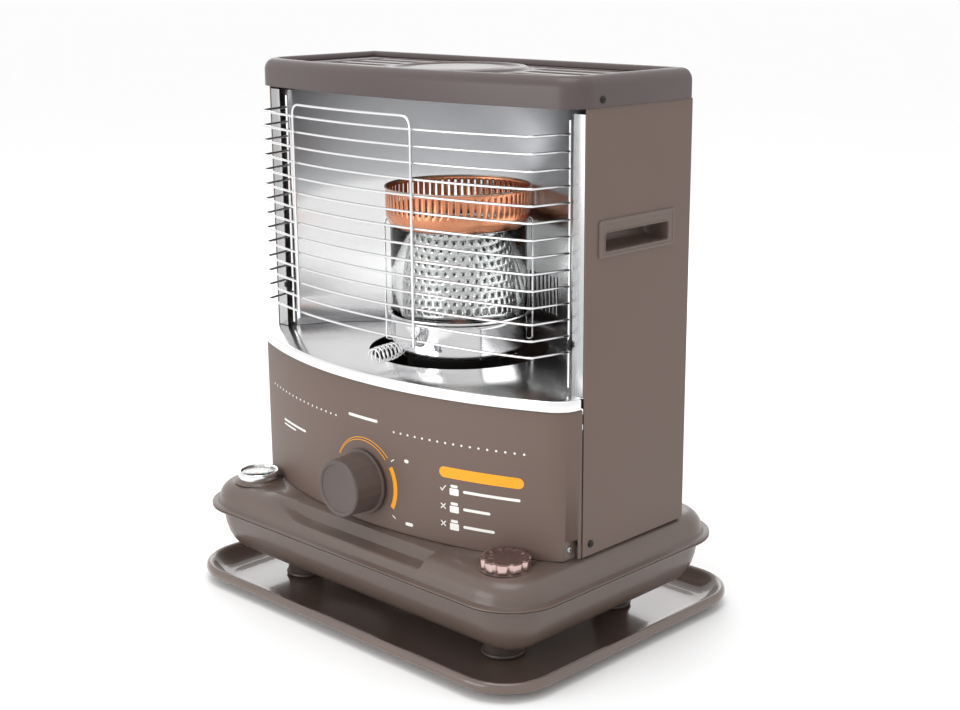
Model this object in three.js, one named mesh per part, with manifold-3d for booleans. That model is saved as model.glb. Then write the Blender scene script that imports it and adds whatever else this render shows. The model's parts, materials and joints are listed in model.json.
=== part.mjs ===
// Radiant kerosene heater, in millimetres. +Z is up and the front faces -Y.
// The origin is the centre of the drip tray's underside.
// Each sub-part is one closed body in its own named mesh.
import * as THREE from "three";
import { mergeVertices } from "three/addons/utils/BufferGeometryUtils.js";
import Module from "manifold-3d";

const wasm = await Module();
wasm.setup();

// Driving dimensions
const gap = 0.3; // clearance between pieces that rest against each other
const sheet = 1.2; // gauge of the cabinet's sheet steel

const trayPlan = { halfX: 227.5, halfY: 171, corner: 53, centreY: 0 };
const trayHeight = 18;
const trayFloor = 1.6;

const tankPlan = { halfX: 225, halfY: 153.6, corner: 53, centreY: -8 };
const tankBottom = 27;
const tankSeam = 79;
const tankTop = 102;
const footX = 139.5;
const footReach = 76.2; // from the tank's centre line to the feet

const gaugeX = -171;
const gaugeY = -116;
const fillerX = 172;
const fillerY = -115;

const cabinetHalf = 207.5;
const cabinetBack = 89;
const ventRows = 5;
const ventColumns = [-120, 0, 120];
const ventLow = 130;
const ventPitch = 16;
const ventHalf = 45;
const ventHeight = 6;
const cabinetFloor = tankTop + gap;
const cabinetTop = 493.2;
const sideFront = -54; // front edge of the side panels
const panelPlan = { half: cabinetHalf, bow: 450, apexY: -124, corner: 28, backY: cabinetBack, backCorner: 2 };
const lipPlan = { ...panelPlan, bow: 452, apexY: -126 };
const capPlan = { half: 209, bow: 929, apexY: -91, corner: 28, backY: 89.6, backCorner: 6 };
const capBottom = 493.5;
const capTop = 520;
// Opening for the fingers in each side
const recess = { frontY: -30, backY: 59, low: 370.5, high: 389, depth: 25 };
const panelTop = 238;
const deckTop = 248.2; // polished base plate of the burner chamber
const deckHole = 87;

const louvresEachSide = 11; // upright slots behind the burner
const louvrePitch = 6.5;
const louvreHalf = 1.6;
const louvreLow = 279;
const louvreHigh = 316;

const grilleRows = 5;
const grillePitch = 25;
const grilleFirstY = -38;
const grilleSlotHalf = 3.5;
const grilleReach = 160; // the slots end this far from the centre line
const grilleClear = 84; // and start on this circle round the burner's axis

const burnerY = 3; // the burner's vertical axis stands at x = 0
const drumBottom = 250.3;
const drumTop = 287;
const glassTop = 369;
const ringTop = 406;

const knobZ = 143;
const pinionPitch = 6; // pitch radius; one radian of knob lifts the wick by 6 mm
const pinionTeeth = 12;
const holderTop = 158; // the sleeve that grips the wick is only a little taller than its rack

const guardWire = 1.4;
const guardRows = 14;
const guardPitch = 14.37;
const guardTopZ = 471.5;
const guardPivotX = 186.5;
const guardPivotY = -50;

// Finishes
const finish = (color, roughness, metalness) =>
  new THREE.MeshStandardMaterial({ color, roughness, metalness });
const brownEnamel = () => finish(0x75675e, 0.42, 0.1);
const darkEnamel = () => finish(0x3a302d, 0.5, 0.1);
const polished = () => finish(0xd9dadc, 0.12, 1);
const zinc = () => finish(0xa9abad, 0.4, 0.9);
const copper = () => finish(0xd88b62, 0.3, 0.9);
const brass = () => finish(0xb59a58, 0.35, 0.9);
const blackened = () => finish(0x222222, 0.6, 0.5);

const heater = new THREE.Group();

function add(name, geometry, material, parent = heater) {
  const mesh = new THREE.Mesh(geometry, material);
  mesh.name = name;
  parent.add(mesh);
  return mesh;
}

// --- Solids and booleans ---

function toSolid(geometry) {
  geometry.deleteAttribute("normal");
  geometry.deleteAttribute("uv");
  const merged = mergeVertices(geometry, 1e-4);
  const index = Array.from(merged.index.array);
  const corners = [];
  for (let i = 0; i < index.length; i += 3) {
    const [a, b, c] = index.slice(i, i + 3);
    if (a !== b && b !== c && c !== a) corners.push(a, b, c);
  }
  return new wasm.Manifold(new wasm.Mesh({
    numProp: 3,
    vertProperties: new Float32Array(merged.attributes.position.array),
    triVerts: new Uint32Array(corners),
  }));
}

function toGeometry(solid) {
  const mesh = solid.getMesh();
  const geometry = new THREE.BufferGeometry();
  geometry.setAttribute("position", new THREE.BufferAttribute(new Float32Array(mesh.vertProperties), 3));
  geometry.setIndex(new THREE.BufferAttribute(new Uint32Array(mesh.triVerts), 1));
  geometry.computeVertexNormals();
  return geometry;
}

const joined = (...parts) => toGeometry(parts.map(toSolid).reduce((all, part) => all.add(part)));

function cut(geometry, ...tools) {
  const remaining = tools.map(toSolid).reduce((left, tool) => left.subtract(tool), toSolid(geometry));
  return toGeometry(remaining);
}

const overlap = (a, b) => toGeometry(toSolid(a).intersect(toSolid(b)));

// --- Outlines and basic forms ---

function arc(x, y, radius, fromDegrees, toDegrees, steps) {
  const points = [];
  for (let i = 0; i <= steps; i++) {
    const angle = THREE.MathUtils.degToRad(fromDegrees + ((toDegrees - fromDegrees) * i) / steps);
    points.push(new THREE.Vector2(x + radius * Math.cos(angle), y + radius * Math.sin(angle)));
  }
  return points;
}

// Rounded rectangle, counter-clockwise, moved inwards by an inset.
function roundedRectangle({ halfX, halfY, corner, centreY = 0 }, inset = 0, steps = 5) {
  const radius = Math.max(corner - inset, 2);
  const x = halfX - inset - radius;
  const y = halfY - inset - radius;
  return [
    ...arc(x, centreY + y, radius, 0, 90, steps),
    ...arc(-x, centreY + y, radius, 90, 180, steps),
    ...arc(-x, centreY - y, radius, 180, 270, steps),
    ...arc(x, centreY - y, radius, 270, 360, steps),
  ];
}

// D-shaped plan: straight back and sides, front bowed to an apex, counter-clockwise.
function bowOutline(plan, inset = 0, steps = 4) {
  const width = plan.half - inset;
  const bow = plan.bow - inset;
  const bowY = plan.apexY + plan.bow;
  const corner = plan.corner - inset;
  const cornerX = width - corner;
  const cornerY = bowY - Math.sqrt((bow - corner) ** 2 - cornerX ** 2);
  const meet = THREE.MathUtils.radToDeg(Math.atan2(cornerY - bowY, cornerX));
  const backCorner = Math.max(plan.backCorner - inset, 0.5);
  const backX = width - backCorner;
  const backY = plan.backY - inset - backCorner;
  return [
    ...arc(0, bowY, bow, -180 - meet, meet, 12).slice(0, -1),
    ...arc(cornerX, cornerY, corner, meet, 0, steps),
    ...arc(backX, backY, backCorner, 0, 90, 2),
    ...arc(-backX, backY, backCorner, 90, 180, 2),
    ...arc(-cornerX, cornerY, corner, 180, 180 - meet, steps).slice(0, -1),
  ];
}

function prism(outline, low, high, holes = []) {
  const shape = new THREE.Shape(outline);
  shape.holes = holes.map((hole) => new THREE.Path(hole));
  return new THREE.ExtrudeGeometry(shape, { depth: high - low, bevelEnabled: false }).translate(0, 0, low);
}

function box(low, high) {
  const size = high.map((value, axis) => value - low[axis]);
  const centre = high.map((value, axis) => (value + low[axis]) / 2);
  return new THREE.BoxGeometry(...size).translate(...centre);
}

const circle = (x, y, radius, steps = 28) => arc(x, y, radius, 0, 360, steps).slice(0, -1);

// Profile of [radius, z] pairs turned about the vertical line through x, y.
function turned(profile, x = 0, y = 0, segments = 24) {
  const points = profile.map(([radius, z]) => new THREE.Vector2(radius, z));
  if (THREE.ShapeUtils.area(points) < 0) points.reverse();
  points.push(points[0].clone());
  return new THREE.LatheGeometry(points, segments).rotateX(Math.PI / 2).translate(x, y, 0);
}

// Closed loop of [inset, z] pairs swept around an outline, as a pressed rim is.
function rim(outlineAt, section) {
  const outwards = section.map(([inset, z]) => new THREE.Vector2(-inset, z));
  if (THREE.ShapeUtils.area(outwards) < 0) section.reverse();
  const rings = section.map(([inset, z]) => outlineAt(inset).map((point) => [point.x, point.y, z]));
  const count = rings[0].length;
  const index = [];
  rings.forEach((ring, level) => {
    const next = (level + 1) % rings.length;
    for (let i = 0; i < count; i++) {
      const j = (i + 1) % count;
      index.push(level * count + i, level * count + j, next * count + j);
      index.push(level * count + i, next * count + j, next * count + i);
    }
  });
  const geometry = new THREE.BufferGeometry();
  geometry.setAttribute("position", new THREE.Float32BufferAttribute(rings.flat(2), 3));
  geometry.setIndex(index);
  return geometry;
}

// Straight runs through a list of points, with a section placed at each point.
class Route extends THREE.Curve {
  constructor(points) {
    super();
    this.points = points;
  }
  getPoint(share) {
    const place = share * (this.points.length - 1);
    const first = Math.min(Math.floor(place), this.points.length - 2);
    return this.points[first].clone().lerp(this.points[first + 1], place - first);
  }
  getPointAt(share) {
    return this.getPoint(share);
  }
  getTangentAt(share) {
    return this.getTangent(share);
  }
}

function rod(points, radius, sides = 6) {
  const section = new THREE.Shape(circle(0, 0, radius, sides));
  return new THREE.ExtrudeGeometry(section, { steps: points.length - 1, extrudePath: new Route(points) });
}

const at = (x, y, z) => new THREE.Vector3(x, y, z);

// --- Drip tray and feet ---

function dripTray() {
  const section = [
    [30, 0], [24, 1.2], [10, 4.5], [2.5, 8], [0, 12], [1.2, 16.8], [3.5, trayHeight],
    [6.5, 17.2], [9, 14], [16, 6.5], [24, 3], [30, trayFloor],
  ];
  const wall = rim((inset) => roundedRectangle(trayPlan, inset), section);
  return joined(wall, prism(roundedRectangle(trayPlan, 29), 0, trayFloor));
}

function foot(x, y) {
  const low = trayFloor + gap;
  const high = tankBottom - gap;
  const profile = [[0, low], [19, low], [20, low + 3], [17, high - 2], [16, high], [0, high]];
  return turned(profile, x, y, 16);
}

function makeStand() {
  add("drip_tray", dripTray(), brownEnamel());
  for (const [depth, reach] of [["front", -footReach], ["rear", footReach]]) {
    for (const [side, x] of [["left", -footX], ["right", footX]]) {
      add(`foot_${depth}_${side}`, foot(x, tankPlan.centreY + reach), darkEnamel());
    }
  }
}

// --- Fuel tank ---

const ductOuter = 44; // central air duct, which the wick slides on
const wickOpening = 53;

function tankLower() {
  const section = [
    [0, tankSeam - 1.6], [0, tankSeam], [11, tankSeam], [12, 68], [18, 48], [28, 34], [40, 28.2],
    [40, tankBottom], [27.5, 33], [16.8, 47.5], [10.6, 68], [9.6, tankSeam - 1.6],
  ];
  const wall = rim((inset) => roundedRectangle(tankPlan, inset), section);
  const floor = prism(roundedRectangle(tankPlan, 39), tankBottom, tankBottom + sheet,
    [circle(0, burnerY, ductOuter + gap)]);
  return joined(wall, floor);
}

function tankUpper() {
  const low = tankSeam + gap;
  const section = [
    [0, low], [0, low + 1.6], [6, low + 2.4], [8, 90], [12, 96.5], [20, 100.6], [30, tankTop],
    [30, tankTop - sheet], [20.5, 99.3], [13, 95.5], [9.4, 89.5], [7.5, low],
  ];
  const wall = rim((inset) => roundedRectangle(tankPlan, inset), section);
  const roof = prism(roundedRectangle(tankPlan, 29), tankTop - sheet, tankTop,
    [circle(0, burnerY, wickOpening)]);
  const holes = [
    turned([[0, 90], [17, 90], [17, 110], [0, 110]], fillerX, fillerY, 18),
    turned([[0, 90], [15, 90], [15, 110], [0, 110]], gaugeX, gaugeY, 18),
  ];
  return cut(joined(wall, roof), ...holes);
}

function makeTank() {
  add("tank_lower_shell", tankLower(), brownEnamel());
  add("tank_upper_shell", tankUpper(), brownEnamel());
}

// --- Filler ---

function fillerCap() {
  const lobes = 10;
  const outline = [];
  for (let i = 0; i < lobes * 4; i++) {
    const angle = (i * 2 * Math.PI) / (lobes * 4);
    const radius = i % 4 === 0 ? 20.6 : 22.6;
    outline.push(new THREE.Vector2(fillerX + radius * Math.cos(angle), fillerY + radius * Math.sin(angle)));
  }
  const body = prism(outline, 103.4, 112.5);
  const hollow = turned([[0, 100], [17.6, 100], [17.6, 110.3], [0, 110.3]], fillerX, fillerY, 18);
  const dish = turned([[0, 111.6], [16, 111.9], [18, 113], [0, 113]], fillerX, fillerY, 18);
  return cut(body, hollow, dish);
}

function makeFiller() {
  const neck = [[16.7, 90], [16.7, 101.4], [17, 102.3], [17, 107], [14.6, 107], [14.6, 90]];
  add("filler_neck", turned(neck, fillerX, fillerY, 18), zinc());
  const strainer = [
    [14.2, 66], [14.2, 107.3], [16.4, 107.3], [16.4, 108], [13.2, 108], [13.2, 67], [0, 67], [0, 66],
  ];
  add("filler_strainer", turned(strainer, fillerX, fillerY, 18), brass());
  const seal = [[0, 108.3], [17, 108.3], [17, 110], [0, 110]];
  add("filler_seal", turned(seal, fillerX, fillerY, 18), finish(0x1c1c1c, 0.8, 0));
  add("filler_cap", fillerCap(), finish(0x8a7470, 0.35, 0.6));
}

// --- Fuel gauge ---

function makeGauge() {
  const bezel = [
    [14.7, 95], [14.7, 102.3], [19, 102.3], [19, 105], [21, 106.5], [21, 111],
    [19.5, 112.5], [17.8, 112.5], [17.8, 105.2], [13.2, 104], [13.2, 95],
  ];
  add("gauge_bezel", turned(bezel, gaugeX, gaugeY, 18), polished());
  const dial = [[1.6, 105.6], [17.4, 105.6], [17.4, 106.2], [1.6, 106.2]];
  add("gauge_dial", turned(dial, gaugeX, gaugeY, 18), finish(0xe8e6e0, 0.6, 0));
  const spindle = turned([[0, 62], [0.9, 62], [0.9, 107.6], [0, 107.6]], gaugeX, gaugeY, 8);
  const pointer = box([gaugeX - 4, gaugeY - 0.8, 107], [gaugeX + 13, gaugeY + 0.8, 107.8]);
  // The crank points rearwards at rest and sweeps to the left, clear of the bracket.
  const crank = box([gaugeX - 0.8, gaugeY - 0.5, 62], [gaugeX + 0.8, gaugeY + 8, 63.5]);
  add("gauge_needle", joined(spindle, pointer, crank), finish(0xc8402a, 0.5, 0));
  const lens = [[0, 109], [17.4, 109], [17.4, 111], [0, 111.6]];
  add("gauge_lens", turned(lens, gaugeX, gaugeY, 18), finish(0xf4f6f6, 0.05, 0));

  const bracket = joined(
    box([gaugeX + 4, gaugeY - 4, 52], [gaugeX + 5.5, gaugeY + 4, 98]),
    box([gaugeX + 4, gaugeY - 4, 97], [gaugeX + 12, gaugeY + 4, 98]),
    rod([at(gaugeX + 5, gaugeY, 56), at(gaugeX + 12, gaugeY, 56)], 1.2, 8),
  );
  add("float_bracket", bracket, zinc());
  const pivotZ = 56;
  const droop = THREE.MathUtils.degToRad(-11); // the arm lies on the tank floor when the tank is empty
  const eye = cut(box([7, -3, -3], [10, 4, 3]), rod([at(0, 0, 0), at(20, 0, 0)], 1.6, 12));
  const arm = rod([at(8.5, 3, 0), at(8.5, 62, 0)], 1.1, 8);
  const ball = new THREE.CapsuleGeometry(9, 22, 3, 10).translate(8.5, 68, 0);
  const float = joined(eye, arm, ball).rotateX(droop).translate(gaugeX, gaugeY, pivotZ);
  add("float_arm", float, finish(0xd8c79a, 0.6, 0));
}

// --- Wick mechanism ---

// Rack teeth along Z, pointing to +X from the root line.
function rackTeeth(rootX, tipX, frontY, backY, low, high) {
  const pitch = (2 * Math.PI * pinionPitch) / pinionTeeth;
  const half = pitch / 4 - 0.12;
  const lean = Math.tan(THREE.MathUtils.degToRad(20));
  const outline = [new THREE.Vector2(rootX - 4, low)];
  outline.push(new THREE.Vector2(rootX, low));
  const first = Math.ceil((low - knobZ) / pitch + 1) - 0.5;
  for (let centre = knobZ + first * pitch; centre < high - pitch / 2; centre += pitch) {
    const root = half + (-pinionPitch - rootX) * lean;
    const tip = half - (tipX + pinionPitch) * lean;
    outline.push(new THREE.Vector2(rootX, centre - root), new THREE.Vector2(tipX, centre - tip));
    outline.push(new THREE.Vector2(tipX, centre + tip), new THREE.Vector2(rootX, centre + root));
  }
  outline.push(new THREE.Vector2(rootX, high), new THREE.Vector2(rootX - 4, high));
  return prism(outline, -backY, -frontY).rotateX(Math.PI / 2);
}

function pinion(frontY, backY) {
  const outline = [];
  for (let tooth = 0; tooth < pinionTeeth; tooth++) {
    for (const [radius, share] of [[4.85, -0.36], [6.8, -0.11], [6.8, 0.11], [4.85, 0.36]]) {
      const angle = (2 * Math.PI * (tooth + share)) / pinionTeeth;
      outline.push(new THREE.Vector2(radius * Math.cos(angle), knobZ + radius * Math.sin(angle)));
    }
  }
  return prism(outline, -backY, -frontY).rotateX(Math.PI / 2);
}

const alongY = (fromY, toY, radius, sides = 12) =>
  rod([at(0, fromY, knobZ), at(0, toY, knobZ)], radius, sides);

function wickTube() {
  const tube = turned([
    [50, 104.1], [72, 104.1], [72, 105.6], [51.2, 105.6], [51.2, 248.4], [63, 248.4],
    [63, 250], [51.2, 250], [51.2, 262], [50, 262],
  ], 0, burnerY, 28);
  const housing = box([-16, -62, 110], [12, -44, 177]);
  const cavity = box([-14.6, -60.6, 111.4], [10.6, -40, 175.6]);
  const bore = turned([[0, 100], [50, 100], [50, 270], [0, 270]], 0, burnerY, 28);
  return cut(joined(tube, housing), cavity, bore, alongY(-70, -50, 3.4));
}

function makeWick() {
  const duct = [[42.8, 20.5], [ductOuter, 20.5], [ductOuter, 262], [42.8, 262]];
  add("draft_tube", turned(duct, 0, burnerY, 28), zinc());
  const gasket = [
    [wickOpening + 1, tankTop + gap], [72, tankTop + gap], [72, 103.8], [wickOpening + 1, 103.8],
  ];
  add("tank_gasket", turned(gasket, 0, burnerY, 28), finish(0x2c2c2a, 0.9, 0));
  add("wick_tube", wickTube(), blackened());
  const wick = [[44.6, 38], [47.6, 38], [47.6, 252], [44.6, 252]];
  add("wick", turned(wick, 0, burnerY, 28), finish(0xe9e3d2, 0.95, 0));
  const sleeve = turned([[48, 116], [49.2, 116], [49.2, holderTop], [48, holderTop]], 0, burnerY, 28);
  const strip = rackTeeth(-7.3, -5.2, -59, -44.5, 117, 154);
  add("wick_holder", joined(sleeve, strip), brass());
  const spindle = joined(pinion(-58.5, -48.5), alongY(-148, -48.5, 3));
  add("pinion_spindle", spindle, zinc());
  const gland = cut(alongY(-70, -62.3, 8, 6), alongY(-75, -60, 3.4));
  add("spindle_gland", gland, brass());
  for (const [index, degrees] of [330, 90, 210].entries()) {
    const angle = THREE.MathUtils.degToRad(degrees);
    const x = 66 * Math.cos(angle);
    const y = burnerY + 66 * Math.sin(angle);
    const nut = turned([[0, 105.9], [4.5, 105.9], [4, 112], [0, 112]], x, y, 8);
    add(`wing_nut_${index + 1}`, joined(nut, box([x - 9, y - 1, 108], [x + 9, y + 1, 116])), zinc());
  }
}

function makeKnob() {
  const turnedKnob = new THREE.LatheGeometry([
    [0, 0], [31, 0], [31, 3], [28.2, 4], [27, 29], [25.6, 31], [22.5, 31], [21.5, 30.2], [0, 30.2],
  ].map(([radius, z]) => new THREE.Vector2(radius, z)), 24);
  turnedKnob.rotateX(Math.PI).translate(0, -126, knobZ);
  add("knob", cut(turnedKnob, alongY(-148.3, -120, 3.3)), darkEnamel());
}

// --- Cabinet ---

const forward = (y) => box([-260, -200, 0], [260, y, 600]);

function bowedSheet(plan, low, high, thickness) {
  const outer = bowOutline(plan);
  const inner = bowOutline(plan, thickness);
  return overlap(prism(outer, low, high, [inner]), forward(sideFront - gap));
}

function frontPanel() {
  const sheetMetal = bowedSheet(panelPlan, cabinetFloor, panelTop - 0.1, sheet);
  const notches = [-1, 1].map((side) => {
    const x = side * 206;
    return box([x - 7, -72, 100], [x + 7, -60, 121]);
  });
  return cut(sheetMetal, alongY(-135, -110, 5), ...notches);
}

function basePlate() {
  const tuck = cabinetHalf - sheet - gap;
  const deck = overlap(prism(bowOutline(lipPlan), deckTop - sheet, deckTop), forward(sideFront - gap));
  const rear = box([-tuck, sideFront - 2, deckTop - sheet], [tuck, 87.2, deckTop]);
  const lip = bowedSheet(lipPlan, panelTop + 0.2, deckTop, sheet);
  const hole = turned([[0, 240], [deckHole, 240], [deckHole, 255], [0, 255]], 0, 2.5, 48);
  return cut(joined(deck, rear, lip), hole);
}

function sidePanel(side) {
  const outer = side * cabinetHalf;
  const inner = side * (cabinetHalf - sheet);
  const [low, high] = [Math.min(outer, inner), Math.max(outer, inner)];
  const panel = box([low, sideFront, cabinetFloor], [high, cabinetBack, cabinetTop]);
  return cut(panel, box([low - 1, recess.frontY, recess.low], [high + 1, recess.backY, recess.high]));
}

// Finger recess: a bezel on the panel's face and a cup behind its opening.
function handleCup(side) {
  const face = cabinetHalf + gap;
  const wall = gap + 1.4;
  const { frontY, backY, low, high, depth } = recess;
  const bezel = box([face, frontY - 8, low - 4], [face + sheet, backY + 6.5, high + 10]);
  const cup = box([face - depth, frontY + gap, low + gap], [face + 0.5, backY - gap, high - gap]);
  const hollow = box([face - depth + 1.4, frontY + wall, low + wall], [face + 3, backY - wall, high - wall]);
  const rightCup = cut(joined(bezel, cup), hollow);
  return side > 0 ? rightCup : rightCup.rotateZ(Math.PI).translate(0, frontY + backY, 0);
}

function reflector() {
  const flangeY = -46;
  const tipX = 203.2;
  const backY = 78;
  const reach = 187;
  const depth = backY - flangeY;
  const radius = (reach ** 2 + depth ** 2) / (2 * depth);
  const centreY = backY - radius;
  const startInner = THREE.MathUtils.radToDeg(Math.asin((flangeY - centreY) / radius));
  const startOuter = THREE.MathUtils.radToDeg(Math.asin((flangeY + 1 - centreY) / (radius + 1)));
  const outline = [
    new THREE.Vector2(tipX, flangeY), new THREE.Vector2(tipX, flangeY + 1),
    ...arc(0, centreY, radius + 1, startOuter, 180 - startOuter, 22),
    new THREE.Vector2(-tipX, flangeY + 1), new THREE.Vector2(-tipX, flangeY),
    ...arc(0, centreY, radius, 180 - startInner, startInner, 22),
  ];
  const slots = [];
  for (let i = -louvresEachSide; i <= louvresEachSide; i++) {
    const x = i * louvrePitch;
    slots.push(box([x - louvreHalf, 55, louvreLow], [x + louvreHalf, 85, louvreHigh]));
  }
  return cut(prism(outline, deckTop + gap, 488), ...slots);
}

function rail(side) {
  const [low, high] = [deckTop + gap, 489];
  const span = (from, to) => [Math.min(side * from, side * to), Math.max(side * from, side * to)];
  const [faceLow, faceHigh] = span(193, 205.8);
  const [webLow, webHigh] = span(204.6, 205.8);
  const face = box([faceLow, sideFront, low], [faceHigh, sideFront + 1.1, high]);
  const web = box([webLow, sideFront, low], [webHigh, -47, high]);
  return joined(face, web);
}

// Spring clip on the rail's edge, between two hoops of the guard so that they swing past it.
function guardClip(side) {
  const x = side * 190.8;
  const half = 1.9;
  const low = guardTopZ - 13 * guardPitch + guardWire + 0.9;
  const high = guardTopZ - 12 * guardPitch - guardWire - 0.9;
  return joined(
    box([x - half, sideFront - 1, low], [x + half, sideFront + 6, high]),
    box([x - half, sideFront - 3, low + 2.4], [x + half, sideFront, high - 2.4]),
  );
}

function screw(x, y, z, side) {
  const head = new THREE.CylinderGeometry(3.2, 3.6, 1.6, 8).rotateZ(-Math.PI / 2 * side);
  return head.translate(x + side * (gap + 0.8), y, z);
}

function makeCabinet() {
  add("front_panel", frontPanel(), brownEnamel());
  add("base_plate", basePlate(), polished());
  add("reflector", reflector(), polished());
  for (const [name, side] of [["left", -1], ["right", 1]]) {
    add(`side_panel_${name}`, sidePanel(side), brownEnamel());
    add(`handle_cup_${name}`, handleCup(side), darkEnamel());
    add(`rail_${name}`, rail(side), polished());
    add(`guard_clip_${name}`, guardClip(side), blackened());
    add(`side_screw_${name}`, screw(side * cabinetHalf, -43.7, 112.8, side), blackened());
    add(`cap_screw_${name}`, screw(side * capPlan.half, -36, 500, side), blackened());
  }
  const inside = cabinetHalf - sheet - gap;
  const back = box([-inside, cabinetBack - sheet, cabinetFloor], [inside, cabinetBack, cabinetTop]);
  const vents = [];
  for (let row = 0; row < ventRows; row++) {
    const low = ventLow + row * ventPitch;
    for (const x of ventColumns) {
      vents.push(box([x - ventHalf, 80, low], [x + ventHalf, 95, low + ventHeight]));
    }
  }
  add("back_panel", cut(back, ...vents), brownEnamel());
}

// --- Top ---

function topCap() {
  const section = [
    [0, capBottom], [0, 510.5], [2.6, 517], [9, capTop], [12.5, capTop],
    [14.6, 518], [14.6, 515], [13.4, 515], [12, 518.8], [9.2, 518.8],
    [3.6, 516.2], [sheet, 510.3], [sheet, capBottom],
  ];
  return rim((inset) => bowOutline(capPlan, inset), section);
}

// Slots run across the plate on both sides of the round boss.
function topGrille() {
  const low = 513.3;
  const plate = prism(bowOutline(capPlan, 10), low, low + sheet);
  const boss = turned([
    [0, low + 1], [56, low + 1], [58, low + 2.2], [64, low + 2.2], [67, low + 1], [69, low],
    [69, low - 0.5], [0, low - 0.5],
  ], 0, burnerY, 28);
  const slots = [];
  for (let row = 0; row < grilleRows; row++) {
    const y = grilleFirstY + row * grillePitch;
    const start = Math.sqrt(grilleClear ** 2 - (y - burnerY) ** 2);
    for (const side of [-1, 1]) {
      const [from, to] = [side * start, side * grilleReach].sort((a, b) => a - b);
      slots.push(box([from, y - grilleSlotHalf, low - 5], [to, y + grilleSlotHalf, low + 5]));
    }
  }
  slots.push(box([-40, -67, low - 5], [40, -60, low + 5]));
  return cut(joined(plate, boss), ...slots);
}

function makeTop() {
  add("top_cap", topCap(), brownEnamel());
  add("top_grille", topGrille(), brownEnamel());
  const vent = prism(circle(0, burnerY, 40, 24), 480, 500);
  add("heat_shield", cut(prism(bowOutline(capPlan, 3), 494, 495), vent), zinc());
}

// --- Wire guard ---

function guardHoop(z) {
  const bowX = 178;
  const shoulderY = -89;
  const apexY = -115;
  const rise = shoulderY - apexY;
  const radius = (bowX ** 2 + rise ** 2) / (2 * rise);
  const half = THREE.MathUtils.radToDeg(Math.asin(bowX / radius));
  const bow = arc(0, apexY + radius, radius, -90 - half, -90 + half, 6);
  const plan = [
    new THREE.Vector2(-guardPivotX, guardPivotY), ...bow, new THREE.Vector2(guardPivotX, guardPivotY),
  ];
  return rod(plan.map((point) => at(point.x, point.y, z)), guardWire, 4);
}

function makeGuard() {
  const wires = [];
  for (let row = 0; row < guardRows; row++) wires.push(guardHoop(guardTopZ - row * guardPitch));
  for (const side of [-1, 1]) {
    const upright = [at(side * guardPivotX, guardPivotY, 252), at(side * guardPivotX, guardPivotY, 486)];
    wires.push(rod(upright, 1.6, 4));
  }
  const loop = [
    at(-106, -106.6, 280), at(-106, -106.6, 478), at(-101, -107.4, 483),
    at(52, -114.8, 483), at(60, -113.2, 475), at(60, -113.2, 280),
  ];
  wires.push(rod(loop, guardWire, 4));
  add("guard", joined(...wires), polished());
}

// --- Burner ---

function coilHandle() {
  const turns = 8;
  const steps = turns * 8;
  const points = [at(4, -63.5, 262), at(4, -70, 262)];
  for (let i = 0; i <= steps; i++) {
    const share = i / steps;
    const radius = 4.2 + 3.4 * Math.min(1, share * 3);
    const angle = share * turns * 2 * Math.PI;
    const y = -73 - share * 44;
    points.push(at(4 + share * 4 + radius * Math.cos(angle), y, 262 + radius * Math.sin(angle)));
  }
  return rod(points, 0.85, 4);
}

function makeBurner() {
  const drum = [
    [56, drumBottom], [66, drumBottom], [66, 283], [68, 284.5], [68, drumTop], [50.5, drumTop],
    [50.5, 285.8], [64.8, 285.8], [64.8, 251.5], [56, 251.5],
  ];
  add("burner_drum", turned(drum, 0, burnerY, 28), polished());
  const seat = drumTop + gap;
  const glass = [[62.6, seat], [65, seat], [65, glassTop], [62.6, glassTop]];
  add("glass_cylinder", turned(glass, 0, burnerY, 28), finish(0xf2f6f6, 0.03, 0));
  const outerSleeve = [[52.4, seat], [53.5, seat], [53.5, 372], [52.4, 372]];
  add("outer_sleeve", turned(outerSleeve, 0, burnerY, 28), polished());
  const innerSleeve = [
    [39.6, 262.3], [43.8, 262.3], [43.8, 263.5], [41, 263.5], [41, 366], [39.6, 366],
  ];
  add("inner_sleeve", turned(innerSleeve, 0, burnerY, 28), zinc());
  const spreader = [[0, 366.3], [45, 366.3], [46, 368], [44, 370], [0, 374]];
  add("flame_spreader", turned(spreader, 0, burnerY, 28), zinc());
  const ring = [
    [61.5, glassTop + gap], [64.5, glassTop + gap], [69, 378], [69, 403], [70, 404.2], [70, ringTop],
    [67.8, ringTop], [67.8, 378.5], [63.6, 370.6], [61.5, 370.6],
  ];
  add("top_ring", turned(ring, 0, burnerY, 28), copper());
  add("coil_handle", coilHandle(), polished());
  for (const [name, degrees] of [["left", 225], ["right", 45]]) {
    const angle = THREE.MathUtils.degToRad(degrees);
    const place = (radius, z) => at(radius * Math.cos(angle), burnerY + radius * Math.sin(angle), z);
    const path = [place(66.6, drumTop + 1.2), place(66.6, 370), place(70.4, 376), place(70.4, 384)];
    const wire = rod(path, 0.8, 5);
    add(`glass_wire_${name}`, wire, polished());
  }
}

// --- Tip-over weight, which hangs free behind the wick tube ---

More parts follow.
